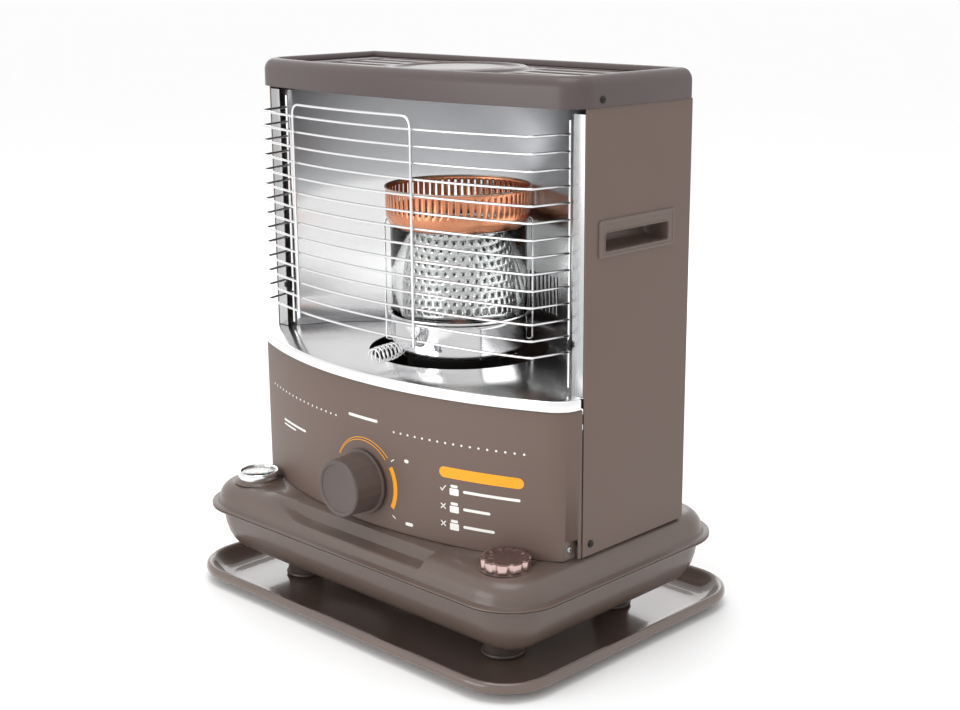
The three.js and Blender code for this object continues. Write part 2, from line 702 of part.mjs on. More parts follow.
function makeTipWeight() {
  const x = 130;
  const pinY = 40;
  const pinZ = 222;
  const pin = (radius, from, to) => rod([at(x, from, pinZ), at(x, to, pinZ)], radius, 8);
  const bracket = joined(
    box([x - 3, 52, pinZ - 4], [x + 3, cabinetBack - sheet - gap, pinZ - 1]),
    box([x - 8, 50, pinZ - 8], [x + 8, 52, pinZ + 8]),
    pin(1.5, pinY - 5, 51),
  );
  add("tip_bracket", bracket, zinc());
  const eye = cut(box([x - 4, pinY - 3, pinZ - 5], [x + 4, pinY + 3, pinZ + 4]), pin(2, 20, 60));
  const stem = rod([at(x, pinY, pinZ - 4), at(x, pinY, 176)], 1.8, 8);
  const bob = turned([[0, 150], [9, 150], [13, 155], [13, 172], [8, 178], [0, 178]], x, pinY, 20);
  add("tip_weight", joined(eye, stem, bob), blackened());
}

makeStand();
makeTank();
makeFiller();
makeGauge();
makeWick();
makeKnob();
makeCabinet();
makeTop();
makeGuard();
makeBurner();
makeTipWeight();

export default heater;
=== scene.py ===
import json
import math

import bmesh
import bpy
from mathutils import Matrix, Quaternion, Vector


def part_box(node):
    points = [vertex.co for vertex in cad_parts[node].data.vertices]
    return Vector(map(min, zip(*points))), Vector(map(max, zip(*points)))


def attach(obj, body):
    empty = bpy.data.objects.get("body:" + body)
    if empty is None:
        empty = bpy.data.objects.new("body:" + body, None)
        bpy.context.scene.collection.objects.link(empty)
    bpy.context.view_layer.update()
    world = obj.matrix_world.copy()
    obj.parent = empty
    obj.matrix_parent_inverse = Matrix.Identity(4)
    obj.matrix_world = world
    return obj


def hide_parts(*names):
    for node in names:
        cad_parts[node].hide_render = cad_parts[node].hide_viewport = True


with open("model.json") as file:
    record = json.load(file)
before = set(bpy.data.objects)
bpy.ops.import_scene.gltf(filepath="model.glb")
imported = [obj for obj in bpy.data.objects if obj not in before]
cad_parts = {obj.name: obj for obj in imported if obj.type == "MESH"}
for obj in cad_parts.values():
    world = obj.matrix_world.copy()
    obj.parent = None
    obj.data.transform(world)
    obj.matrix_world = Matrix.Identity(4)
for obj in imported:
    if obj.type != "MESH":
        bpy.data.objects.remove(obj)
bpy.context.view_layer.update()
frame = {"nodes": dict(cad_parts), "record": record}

record = frame["record"]
bodyOf = {node: body for body, nodes in record["behaviour"]["bodies"].items() for node in nodes}
slotOf = {entry["node"]: entry["material_slot"] for entry in record["subparts"]}
mm = 0.001  # shapes are modelled in millimetres and scaled when they are placed


def span(node):
    low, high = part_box(node)
    return low / mm, high / mm


def middle(node):
    low, high = span(node)
    return (low + high) / 2


def paint(red, green, blue):
    def linear(channel):
        channel /= 255
        return channel / 12.92 if channel < 0.04045 else ((channel + 0.055) / 1.055) ** 2.4
    return (linear(red), linear(green), linear(blue), 1)


def newGroup(name, inputs, outputs):
    group = bpy.data.node_groups.new(name, "ShaderNodeTree")
    for label, kind, value in inputs:
        socket = group.interface.new_socket(label, in_out="INPUT", socket_type=kind)
        if value is not None:
            socket.default_value = value
    for label, kind in outputs:
        group.interface.new_socket(label, in_out="OUTPUT", socket_type=kind)
    start = group.nodes.new("NodeGroupInput")
    end = group.nodes.new("NodeGroupOutput")
    return group, start.outputs, end.inputs


def node(tree, kind, **values):
    made = tree.nodes.new(kind)
    for key, value in values.items():
        if key in made.inputs:
            made.inputs[key].default_value = value
        else:
            setattr(made, key, value)
    return made


def scaled(tree, vector, scale):
    times = node(tree, "ShaderNodeVectorMath", operation="SCALE")
    tree.links.new(vector, times.inputs[0])
    tree.links.new(scale, times.inputs["Scale"])
    return times.outputs[0]


def remap(tree, value, low, high):
    made = node(tree, "ShaderNodeMapRange")
    tree.links.new(value, made.inputs["Value"])
    made.inputs["To Min"].default_value = low
    made.inputs["To Max"].default_value = high
    return made.outputs[0]


def makeFinishGrain():
    # fine orange peel plus slow clouding, for paint, plastic and rubber
    group, given, result = newGroup(
        "finishGrain",
        [("Vector", "NodeSocketVector", None), ("Grain", "NodeSocketFloat", 900),
         ("Cloud", "NodeSocketFloat", 14)],
        [("Height", "NodeSocketFloat"), ("Clouding", "NodeSocketFloat")],
    )
    fine = node(group, "ShaderNodeTexNoise", Detail=3)
    group.links.new(given["Vector"], fine.inputs["Vector"])
    group.links.new(given["Grain"], fine.inputs["Scale"])
    slow = node(group, "ShaderNodeTexNoise", Detail=4)
    group.links.new(given["Vector"], slow.inputs["Vector"])
    group.links.new(given["Cloud"], slow.inputs["Scale"])
    group.links.new(fine.outputs["Fac"], result["Height"])
    group.links.new(slow.outputs["Fac"], result["Clouding"])
    return group


def makeBrushLines():
    # long thin streaks, for brushed and polished sheet
    group, given, result = newGroup(
        "brushLines",
        [("Vector", "NodeSocketVector", None), ("Stretch", "NodeSocketVector", (1, 1, 60)),
         ("Scale", "NodeSocketFloat", 40)],
        [("Streak", "NodeSocketFloat"), ("Smear", "NodeSocketFloat")],
    )
    pulled = node(group, "ShaderNodeVectorMath", operation="MULTIPLY")
    group.links.new(given["Vector"], pulled.inputs[0])
    group.links.new(given["Stretch"], pulled.inputs[1])
    lines = node(group, "ShaderNodeTexNoise", Detail=5, Roughness=0.7)
    group.links.new(pulled.outputs[0], lines.inputs["Vector"])
    group.links.new(given["Scale"], lines.inputs["Scale"])
    smear = node(group, "ShaderNodeTexNoise", Scale=9, Detail=3)
    group.links.new(given["Vector"], smear.inputs["Vector"])
    group.links.new(lines.outputs["Fac"], result["Streak"])
    group.links.new(smear.outputs["Fac"], result["Smear"])
    return group


def makeSettledDust():
    # a thin film on faces that look up, broken by noise
    group, given, result = newGroup(
        "settledDust",
        [("Vector", "NodeSocketVector", None), ("Amount", "NodeSocketFloat", 0.2)],
        [("Dust", "NodeSocketFloat")],
    )
    facing = node(group, "ShaderNodeNewGeometry")
    axes = node(group, "ShaderNodeSeparateXYZ")
    group.links.new(facing.outputs["Normal"], axes.inputs[0])
    up = remap(group, axes.outputs["Z"], 0, 1)
    patches = node(group, "ShaderNodeTexNoise", Scale=35, Detail=6)
    group.links.new(given["Vector"], patches.inputs["Vector"])
    broken = node(group, "ShaderNodeMath", operation="MULTIPLY")
    group.links.new(up, broken.inputs[0])
    group.links.new(patches.outputs["Fac"], broken.inputs[1])
    amount = node(group, "ShaderNodeMath", operation="MULTIPLY")
    group.links.new(broken.outputs[0], amount.inputs[0])
    group.links.new(given["Amount"], amount.inputs[1])
    group.links.new(amount.outputs[0], result["Dust"])
    return group


finishGrain = makeFinishGrain()
brushLines = makeBrushLines()
settledDust = makeSettledDust()


def startMaterial(name, **shader):
    material = bpy.data.materials.new(name)
    material.use_nodes = True
    tree = material.node_tree
    surface = tree.nodes["Principled BSDF"]
    for key, value in shader.items():
        surface.inputs[key.replace("_", " ")].default_value = value
    place = node(tree, "ShaderNodeTexCoord").outputs["Object"]
    return material, tree, surface, place


def useGroup(tree, group, place, **values):
    made = node(tree, "ShaderNodeGroup", node_tree=group)
    tree.links.new(place, made.inputs["Vector"])
    for key, value in values.items():
        made.inputs[key].default_value = value
    return made.outputs


def mixColours(tree, share, first, second):
    mix = node(tree, "ShaderNodeMix", data_type="RGBA")
    tree.links.new(share, mix.inputs[0])
    for socket, colour in ((mix.inputs[6], first), (mix.inputs[7], second)):
        if isinstance(colour, tuple):
            socket.default_value = colour
        else:
            tree.links.new(colour, socket)
    return mix.outputs[2]


def addBump(tree, surface, height, strength, distance=0.0004):
    bump = node(tree, "ShaderNodeBump", Strength=strength, Distance=distance)
    tree.links.new(height, bump.inputs["Height"])
    tree.links.new(bump.outputs[0], surface.inputs["Normal"])


def coated(name, light, dark, roughness=(0.3, 0.42), grain=900, bump=0.12, dust=0.1, **shader):
    # paint, plastic, rubber: two close shades, clouded gloss, fine peel, a breath of dust
    material, tree, surface, place = startMaterial(name, **shader)
    peel = useGroup(tree, finishGrain, place, Grain=grain)
    shade = mixColours(tree, peel["Clouding"], dark, light)
    film = useGroup(tree, settledDust, place, Amount=dust)
    dusty = mixColours(tree, film["Dust"], shade, paint(196, 190, 184))
    tree.links.new(dusty, surface.inputs["Base Color"])
    tree.links.new(remap(tree, peel["Clouding"], *roughness), surface.inputs["Roughness"])
    addBump(tree, surface, peel["Height"], bump)
    return material


def polishedMetal(name, light, dark, roughness=(0.05, 0.14), stretch=(1, 1, 60), scale=40, bump=0.03,
                  **shader):
    material, tree, surface, place = startMaterial(name, Metallic=1.0, **shader)
    lines = useGroup(tree, brushLines, place, Stretch=stretch, Scale=scale)
    tree.links.new(mixColours(tree, lines["Smear"], dark, light), surface.inputs["Base Color"])
    tree.links.new(remap(tree, lines["Streak"], *roughness), surface.inputs["Roughness"])
    addBump(tree, surface, lines["Streak"], bump)
    return material


def makeMaterials():
    made = {}
    made["brown_enamel"] = coated(
        "brownEnamel", paint(108, 91, 83), paint(102, 86, 78), (0.42, 0.52), bump=0.05, dust=0.02,
        Specular_IOR_Level=0.3)
    made["tank_enamel"] = coated(
        "tankEnamel", paint(98, 83, 76), paint(91, 77, 70), (0.28, 0.38), bump=0.04, dust=0.02,
        Coat_Weight=0.15, Coat_Roughness=0.1)
    made["cap_enamel"] = coated(
        "capEnamel", paint(80, 67, 67), paint(75, 63, 62), (0.36, 0.44), bump=0.04, dust=0.02,
        Coat_Weight=0.05, Coat_Roughness=0.1)
    made["tray_enamel"] = coated(
        "trayEnamel", paint(104, 86, 78), paint(92, 76, 69), (0.16, 0.26), bump=0.04, dust=0.03,
        Coat_Weight=0.6, Coat_Roughness=0.05)
    made["dark_enamel"] = coated(
        "darkEnamel", paint(78, 68, 63), paint(66, 57, 53), (0.3, 0.42), dust=0.05)
    made["knob_plastic"] = coated(
        "knobPlastic", paint(90, 76, 70), paint(82, 69, 64), (0.38, 0.48), grain=1500, bump=0.12, dust=0.02)
    made["cap_plastic"] = coated(
        "capPlastic", paint(128, 102, 97), paint(112, 89, 85), (0.16, 0.26), bump=0.05, dust=0.02,
        Metallic=0.6)
    made["rubber"] = coated("sealRubber", paint(40, 39, 38), paint(28, 27, 27), (0.7, 0.85), grain=500,
                            bump=0.4)
    made["float_foam"] = coated("floatFoam", paint(214, 200, 160), paint(190, 172, 132), (0.8, 0.95),
                                grain=350, bump=0.8)
    made["needle_red"] = coated("needlePaint", paint(205, 62, 38), paint(186, 50, 30), (0.4, 0.5))
    made["dial_card"] = coated("dialCard", paint(238, 236, 230), paint(228, 226, 220), (0.55, 0.65), dust=0)
    made["print_white"] = coated("whitePrint", paint(240, 238, 234), paint(230, 227, 222), (0.4, 0.5), dust=0)
    made["print_orange"] = coated("orangePrint", paint(250, 168, 6), paint(244, 156, 0), (0.4, 0.5), dust=0)
    made["blackened_steel"] = coated(
        "blackenedSteel", paint(46, 44, 43), paint(30, 29, 28), (0.35, 0.5), grain=700, bump=0.3,
        Metallic=0.6)
    made["polished_steel"] = polishedMetal(
        "polishedSteel", paint(222, 222, 223), paint(212, 212, 213), (0.06, 0.14), (1, 1, 0.02), 420)
    made["reflector_steel"] = polishedMetal(
        "reflectorSteel", paint(248, 248, 248), paint(240, 240, 241), (0.17, 0.25), (1, 1, 0.02), 420, 0.02)
    made["deck_steel"] = polishedMetal(
        "deckSteel", paint(247, 247, 247), paint(238, 238, 239), (0.12, 0.22), (0.03, 1, 1), 500, 0.03)
    made["wire_chrome"] = polishedMetal(
        "wireChrome", paint(240, 240, 240), paint(222, 222, 224), (0.08, 0.18), (1, 1, 1), 300)
    made["zinc_steel"] = polishedMetal(
        "zincSteel", paint(196, 197, 199), paint(166, 168, 172), (0.25, 0.45), (1, 1, 0.3), 120, 0.08)
    made["brass"] = polishedMetal("drawnBrass", paint(206, 176, 106), paint(176, 146, 80), (0.2, 0.4),
                                  (1, 1, 0.1), 200)
    made["copper_ring"] = makeCopper()
    made["clear_glass"] = makeGlass()
    made["cotton_wick"] = makeWickCotton()
    return made


def makeCopper():
    # heat-tinted plating: rosy and orange tones clouded and smeared all round
    material, tree, surface, place = startMaterial("copperPlate", Metallic=1.0)
    lines = useGroup(tree, brushLines, place, Stretch=(1, 1, 0.05), Scale=260)
    peel = useGroup(tree, finishGrain, place, Cloud=26)
    warm = mixColours(tree, peel["Clouding"], paint(198, 122, 88), paint(214, 154, 120))
    tint = mixColours(tree, remap(tree, lines["Smear"], 0, 0.5), warm, paint(206, 138, 103))
    tree.links.new(tint, surface.inputs["Base Color"])
    tree.links.new(remap(tree, lines["Streak"], 0.16, 0.32), surface.inputs["Roughness"])
    addBump(tree, surface, lines["Streak"], 0.05)
    return material


def makeGlass():
    material, tree, surface, place = startMaterial(
        "heatGlass", Transmission_Weight=1.0, IOR=1.3, Base_Color=(0.97, 0.985, 0.98, 1))
    peel = useGroup(tree, finishGrain, place, Cloud=30)
    tree.links.new(remap(tree, peel["Clouding"], 0.0, 0.02), surface.inputs["Roughness"])
    return material


def makeWickCotton():
    material, tree, surface, place = startMaterial("wickCotton", Roughness=0.95)
    weave = node(tree, "ShaderNodeTexWave", Scale=900, Distortion=3, Detail=2)
    tree.links.new(place, weave.inputs["Vector"])
    tree.links.new(mixColours(tree, weave.outputs["Fac"], paint(206, 198, 176), paint(236, 230, 212)),
                   surface.inputs["Base Color"])
    addBump(tree, surface, weave.outputs["Fac"], 0.6)
    return material


materials = makeMaterials()
print("materials:", len(materials))


def arc(x, y, radius, start, end, steps):
    turn = (end - start) / steps
    return [(x + radius * math.cos(math.radians(start + turn * i)),
             y + radius * math.sin(math.radians(start + turn * i))) for i in range(steps + 1)]


def circle(x, y, radius, steps=64):
    return arc(x, y, radius, 0, 360, steps)[:-1]


def roundedRectangle(halfX, halfY, corner, centreY=0, inset=0, steps=12, along=1):
    # counter-clockwise from the rear right corner; the front edge is split into "along" pieces
    radius = max(corner - inset, 1)
    x, y = halfX - inset - radius, halfY - inset - radius
    points = arc(x, centreY + y, radius, 0, 90, steps) + arc(-x, centreY + y, radius, 90, 180, steps)
    points += arc(-x, centreY - y, radius, 180, 270, steps)
    front = centreY - y - radius
    points += [(-x + 2 * x * i / along, front) for i in range(1, along)]
    return points + arc(x, centreY - y, radius, 270, 360, steps)


def bowFront(plan, inset=0, steps=12, across=64):
    # front of a D-shaped plan, from the left side round the bow to the right side
    bowY = plan["apexY"] + plan["bow"]
    corner = plan["corner"] - inset
    cornerX = plan["half"] - plan["corner"]
    cornerY = bowY - math.sqrt((plan["bow"] - plan["corner"]) ** 2 - cornerX ** 2)
    meet = math.degrees(math.atan2(cornerY - bowY, cornerX))
    points = arc(-cornerX, cornerY, corner, 180, 180 - meet, steps)
    points += arc(0, bowY, plan["bow"] - inset, -180 - meet, meet, across)[1:]
    return points + arc(cornerX, cornerY, corner, meet, 0, steps)[1:]


def bowOutline(plan, inset=0, steps=12, across=64):
    radius = max(plan["backCorner"] - inset, 0.5)
    x, y = plan["half"] - inset - radius, plan["backY"] - inset - radius
    return bowFront(plan, inset, steps, across) + arc(x, y, radius, 0, 90, 4) + arc(-x, y, radius, 90, 180, 4)


def ring(bm, points, z, closed=True):
    verts = [bm.verts.new((x, y, z)) for x, y in points]
    pairs = list(zip(verts, verts[1:])) + ([(verts[-1], verts[0])] if closed else [])
    return [bm.edges.new(pair) for pair in pairs]


def pressed(bm, outlineAt, section, closed=True, loop=False):
    # rings of (inset, z) bridged one to the next, as a sheet is pressed
    rings = [ring(bm, outlineAt(inset), z, closed) for inset, z in section]
    pairs = list(zip(rings, rings[1:])) + ([(rings[-1], rings[0])] if loop else [])
    for first, second in pairs:
        bmesh.ops.bridge_loops(bm, edges=first + second)
    return rings


def fillFlat(bm, edges):
    return [f for f in bmesh.ops.triangle_fill(bm, use_beauty=True, edges=edges)["geom"]
            if isinstance(f, bmesh.types.BMFace)]


def thicken(bm, faces, shift):
    # a closed slab from flat faces
    grown = bmesh.ops.extrude_face_region(bm, geom=faces, use_keep_orig=True)
    verts = [v for v in grown["geom"] if isinstance(v, bmesh.types.BMVert)]
    bmesh.ops.translate(bm, vec=shift, verts=verts)


def spun(bm, profile, x=0, y=0, steps=64, closed=True):
    # (radius, z) pairs spun about the upright line through x, y
    verts = [bm.verts.new((x + radius, y, z)) for radius, z in profile]
    pairs = list(zip(verts, verts[1:])) + ([(verts[-1], verts[0])] if closed else [])
    edges = [bm.edges.new(pair) for pair in pairs]
    bmesh.ops.spin(bm, geom=verts + edges, cent=(x, y, 0), axis=(0, 0, 1), angle=math.tau,
                   steps=steps, use_merge=True, use_duplicate=False)


def block(bm, low, high, bevel=0.4, segments=2):
    made = bmesh.ops.create_cube(bm, size=1)["verts"]
    size = [b - a for a, b in zip(low, high)]
    bmesh.ops.scale(bm, vec=size, verts=made)
    bmesh.ops.translate(bm, vec=[(a + b) / 2 for a, b in zip(low, high)], verts=made)
    edges = list({e for v in made for e in v.link_edges})
    if bevel:
        bmesh.ops.bevel(bm, geom=edges, offset=bevel, segments=segments, affect="EDGES", profile=0.5,
                        material=-1)


def wire(bm, path, radius, cyclic=False, resolution=2):
    curve = bpy.data.curves.new("wirePath", "CURVE")
    curve.dimensions = "3D"
    curve.bevel_depth = radius
    curve.bevel_resolution = resolution
    curve.use_fill_caps = not cyclic
    spline = curve.splines.new("POLY")
    spline.points.add(len(path) - 1)
    for point, place in zip(spline.points, path):
        point.co = (*place, 1)
    spline.use_cyclic_u = cyclic
    holder = bpy.data.objects.new("wirePath", curve)
    bpy.context.scene.collection.objects.link(holder)
    mesh = bpy.data.meshes.new_from_object(holder.evaluated_get(bpy.context.evaluated_depsgraph_get()))
    bm.from_mesh(mesh)
    bpy.data.objects.remove(holder)
    bpy.data.curves.remove(curve)
    bpy.data.meshes.remove(mesh)


def smoothPath(points, radius, steps=6):
    # rounds each corner of a path of straight runs
    path = [Vector(points[0])]
    for before, here, after in zip(points, points[1:], points[2:]):
        before, here, after = Vector(before), Vector(here), Vector(after)
        reach = min(radius, (before - here).length / 2, (after - here).length / 2)
        start = here + (before - here).normalized() * reach
        end = here + (after - here).normalized() * reach
        for i in range(steps + 1):
            t = i / steps
            path.append(start * (1 - t) ** 2 + here * 2 * t * (1 - t) + end * t ** 2)
    return path + [Vector(points[-1])]


def place(bm, name, material, like, replaces=(), sharp=32, thickness=0):
    # like names the CAD node whose body the piece shares
    bmesh.ops.remove_doubles(bm, verts=bm.verts, dist=0.002)
    bmesh.ops.recalc_face_normals(bm, faces=bm.faces)
    bmesh.ops.scale(bm, vec=(mm, mm, mm), verts=bm.verts)
    mesh = bpy.data.meshes.new(name)
    bm.to_mesh(mesh)
    bm.free()
    piece = bpy.data.objects.new(name, mesh)
    bpy.context.scene.collection.objects.link(piece)
    mesh.materials.append(materials[material])
    mesh.shade_smooth()
    mesh.set_sharp_from_angle(angle=math.radians(sharp))
    if thickness:
        wall = piece.modifiers.new("wall", "SOLIDIFY")
        wall.thickness = thickness * mm
        wall.offset = -1
        wall.use_even_offset = True
    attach(piece, bodyOf[like])
    if replaces:
        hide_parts(*replaces)
    return piece


def makeTray():
    high = span("drip_tray")[1]
    tray = {"corner": 53, "sheet": 1.2, "floor": 1.4, "rim": high.z}
    top = tray["rim"]
    bm = bmesh.new()
    section = [(3.4, 8.4), (1.6, 8.8), (0.5, 10), (0, 12), (0.2, 14.4), (1, 16.4), (2.2, top - 0.6),
               (3.6, top),
               (5.2, top - 0.3), (6.8, top - 1.4), (8.4, 14), (12, 9.6), (16, 5.6), (19, 3.4), (23, 2),
               (28, 1.5),
               (34, tray["floor"])]
    rings = pressed(bm, lambda inset: roundedRectangle(high.x, high.y, tray["corner"], 0, inset), section)
    fillFlat(bm, rings[-1])
    place(bm, "dripTray", "tray_enamel", "drip_tray", ["drip_tray"], thickness=tray["sheet"])


def makeFeet():
    for name in ("foot_front_left", "foot_front_right", "foot_rear_left", "foot_rear_right"):
        low, high = span(name)
        centre = (low + high) / 2
        bm = bmesh.new()
        base = low.z
        profile = [(0, base), (18.4, base), (19.6, base + 0.6), (20, base + 2), (19.4, base + 3.4),
                   (18.2, base + 4.2),
                   (17, high.z - 3), (16.4, high.z - 0.6), (15.8, high.z), (0, high.z)]
        spun(bm, profile, centre.x, centre.y, 40, closed=False)
        place(bm, name.replace("foot", "standFoot"), "dark_enamel", name, [name])


tankPlan = {"corner": 53, "centreY": middle("tank_upper_shell").y}
tankHalf = span("tank_upper_shell")[1].x
tankHalfY = (span("tank_upper_shell")[1].y - span("tank_upper_shell")[0].y) / 2


def tankOutline(inset, steps=12, along=1):
    return roundedRectangle(tankHalf, tankHalfY, tankPlan["corner"], tankPlan["centreY"], inset, steps, along)


def makeLowerShell():
    low, high = span("tank_lower_shell")
    top = high.z
    axis = middle("draft_tube")
    bm = bmesh.new()
    section = [(0.4, top), (0, top - 0.5), (0.2, top - 1.4), (1, top - 1.9), (8.6, top - 2), (10, top - 2.8),
               (10.8, top - 4.6), (11.6, 68), (13.2, 59), (16, 50), (19.6, 43), (24, 37.4), (29, 33.2),
               (34, 30.4), (39, 28.6), (44, 27.6), (50, low.z)]
    rings = pressed(bm, tankOutline, section)
    duct = ring(bm, circle(axis.x, axis.y, 44.4), low.z)
    fillFlat(bm, rings[-1] + duct)
    place(bm, "lowerShell", "tank_enamel", "tank_lower_shell", ["tank_lower_shell"], thickness=0.9)


def scoop(bm, settings):
    # presses the long shallow hollow into the shell's front shoulder
    def ease(value, start, end):
        share = min(max((value - start) / (end - start), 0), 1)
        return share * share * (3 - 2 * share)
    for vert in bm.verts:
        x, y, z = vert.co
        acrossX = ease(x, *settings["leftFade"]) * (1 - ease(x, *settings["rightStep"]))
        acrossY = 1 - ease(y, *settings["backSlope"])
        depth = (z - settings["floor"]) * acrossX * acrossY
        if depth > 0:
            vert.co.z -= depth


def makeUpperShell():
    low, high = span("tank_upper_shell")
    hollow = {"floor": 91, "leftFade": (-130, -60), "rightStep": (100, 103.5), "backSlope": (-138, -129)}
    bm = bmesh.new()
    section = [(0.2, low.z), (0, low.z + 0.5), (0.3, low.z + 1.4), (1.4, low.z + 1.9), (5, low.z + 2.1),
               (6.4, low.z + 2.8), (7.2, 84), (7.8, 87), (8.8, 90), (10.4, 93), (12.6, 95.6), (15.4, 97.9),
               (18.6, 99.6), (22, 100.8), (25, 101.4), (28, 101.8), (31, 101.95), (34, high.z)]
    rings = pressed(bm, lambda inset: tankOutline(inset, 12, 110), section)
    axis = middle("wick_tube")
    openings = ring(bm, circle(axis.x, axis.y, 53), high.z)
    for fitting, radius in (("filler_neck", 17), ("gauge_bezel", 15)):
        centre = middle(fitting)
        openings += ring(bm, circle(centre.x, centre.y, radius, 40), high.z)
    fillFlat(bm, rings[-1] + openings)
    scoop(bm, hollow)
    place(bm, "upperShell", "tank_enamel", "tank_upper_shell", ["tank_upper_shell"], thickness=0.9)
    for fitting, name in (("filler_neck", "fillerCollar"), ("gauge_bezel", "gaugeCollar")):
        centre = middle(fitting)
        bm = bmesh.new()
        base = high.z
        collar = [(17.3, base + 0.02), (23.4, base + 0.02), (21.6, base + 0.5), (20, base + 1.3),
                  (19, base + 2.2), (17.3, base + 0.3)]
        if name == "gaugeCollar":
            collar = [(19.3, base + 0.02), (24.6, base + 0.02), (22.4, base + 0.7), (21, base + 2),
                      (20.6, base + 4),
                      (19.3, base + 4)]
        spun(bm, collar, centre.x, centre.y, 48)
        place(bm, name, "tank_enamel", "tank_upper_shell")


def makeFillerCap():
    low, high = span("filler_cap")
    centre = (low + high) / 2
    cap = {"lobes": 10, "radius": 22.6, "bite": 2.3}

    def lobed(inset, steps=160):
        points = []
        for i in range(steps):
            angle = math.tau * i / steps
            notch = max(0.0, math.cos(angle * cap["lobes"])) ** 1.6
            radius = cap["radius"] - inset - cap["bite"] * notch
            points.append((centre.x + radius * math.cos(angle), centre.y + radius * math.sin(angle)))
        return points

    bm = bmesh.new()
    section = [(3.4, low.z + 3), (3.2, low.z), (1.2, low.z), (0.3, low.z + 0.6), (0, low.z + 1.6),
               (0, high.z - 1.4)]
    pressed(bm, lobed, section)
    place(bm, "capGrip", "cap_metal", "filler_cap")
    bm = bmesh.new()
    section = [(0, high.z - 1.38), (0.4, high.z - 0.5), (1.3, high.z), (3, high.z), (4.4, high.z - 0.3),
               (5.4, high.z - 1), (8, high.z - 1.5), (13, high.z - 1.8), (19, high.z - 1.9)]
    rings = pressed(bm, lobed, section)
    fillFlat(bm, rings[-1])
    place(bm, "capTop", "cap_plastic", "filler_cap", ["filler_cap"])


def makeGauge():
    low, high = span("gauge_bezel")
    centre = (low + high) / 2
    bm = bmesh.new()
    outer = high.x - centre.x
    profile = [(14.6, 95), (14.6, 104.6), (19.4, 104.6), (20.2, 105.2), (20.4, 106.4),
               (outer - 0.2, 107.2), (outer, 108.4),
               (outer, 110.6), (outer - 0.4, 111.8), (outer - 1.3, high.z), (outer - 2.4, 112.3),
               (outer - 3, 111.6),
               (outer - 3.2, 110.4), (17.8, 105.2), (13.2, 104), (13.2, 95)]
    spun(bm, profile, centre.x, centre.y, 72)
    place(bm, "gaugeRing", "wire_chrome", "gauge_bezel", ["gauge_bezel"])
    bm = bmesh.new()
    spun(bm, [(0, 109), (17.2, 109), (17.4, 109.4), (17.2, 110.6), (14, 111.3), (9, 111.8), (4, 112),
              (0, 112.05)],
         centre.x, centre.y, 56, closed=False)
    place(bm, "gaugeGlass", "clear_glass", "gauge_lens", ["gauge_lens"])
    bm = bmesh.new()
    for step in range(13):
        angle = math.radians(20 + step * 11.6)
        long = 4 if step % 3 == 0 else 2.4
        made = bmesh.ops.create_cube(bm, size=1)["verts"]
        bmesh.ops.scale(bm, vec=(long, 0.5, 0.12), verts=made)
        bmesh.ops.translate(bm, vec=(15.4 - long / 2, 0, 0), verts=made)
        bmesh.ops.rotate(bm, cent=(0, 0, 0), matrix=Matrix.Rotation(angle, 3, "Z"), verts=made)
        bmesh.ops.translate(bm, vec=(centre.x, centre.y, 106.27), verts=made)
    place(bm, "gaugeTicks", "blackened_steel", "gauge_dial")


cabinet = {"half": span("side_panel_right")[1].x, "sheet": 1.2}
panelPlan = {"half": 207.5, "bow": 450, "apexY": -124, "corner": 28, "backY": 89, "backCorner": 2}
lipPlan = {**panelPlan, "bow": 452, "apexY": -126}
capPlan = {"half": 209, "bow": 929, "apexY": -91, "corner": 28, "backY": 89.6, "backCorner": 6}


def panelY(x, proud=0):
    # the front panel's surface, or a little in front of it
    radius = panelPlan["bow"] + proud
    return panelPlan["apexY"] + panelPlan["bow"] - math.sqrt(radius ** 2 - x ** 2)


def makeFrontPanel():
    low, high = span("front_panel")
    notch = {"y": (-72, -60), "top": 121, "x": 190}
    bm = bmesh.new()
    levels = [(0.5, low.z), (0, low.z + 0.6), (0, notch["top"]), (0, high.z - 1.4), (0.35, high.z - 0.5),
              (1.2, high.z)]
    pressed(bm, lambda inset: bowFront(panelPlan, inset), levels, closed=False)
    for y in notch["y"]:
        bmesh.ops.bisect_plane(bm, geom=bm.verts[:] + bm.edges[:] + bm.faces[:], plane_co=(0, y, 0),
                               plane_no=(0, 1, 0))
    gone = [f for f in bm.faces if notch["y"][0] < f.calc_center_median().y < notch["y"][1]
            and f.calc_center_median().z < notch["top"] and abs(f.calc_center_median().x) > notch["x"]]
    bmesh.ops.delete(bm, geom=gone, context="FACES")
    piece = place(bm, "frontPanel", "brown_enamel", "front_panel", ["front_panel"],
                  thickness=cabinet["sheet"])
    if piece.data.polygons[0].normal.y > 0:
        piece.modifiers["wall"].offset = 1
    for side in (-1, 1):
        bm = bmesh.new()
        x = side * 201.4
        name = "Left" if side < 0 else "Right"
        block(bm, (x - 0.6, -73, low.z + 0.2), (x + 0.6, -57, 122), 0.3)
        place(bm, f"cornerBracket{name}", "cup_enamel", "front_panel")
        screwHead(f"bracketScrew{name}", (x + side * 0.62, -66, 112), (side, 0, 0), 2.8, "zinc_steel",
                  "front_panel")


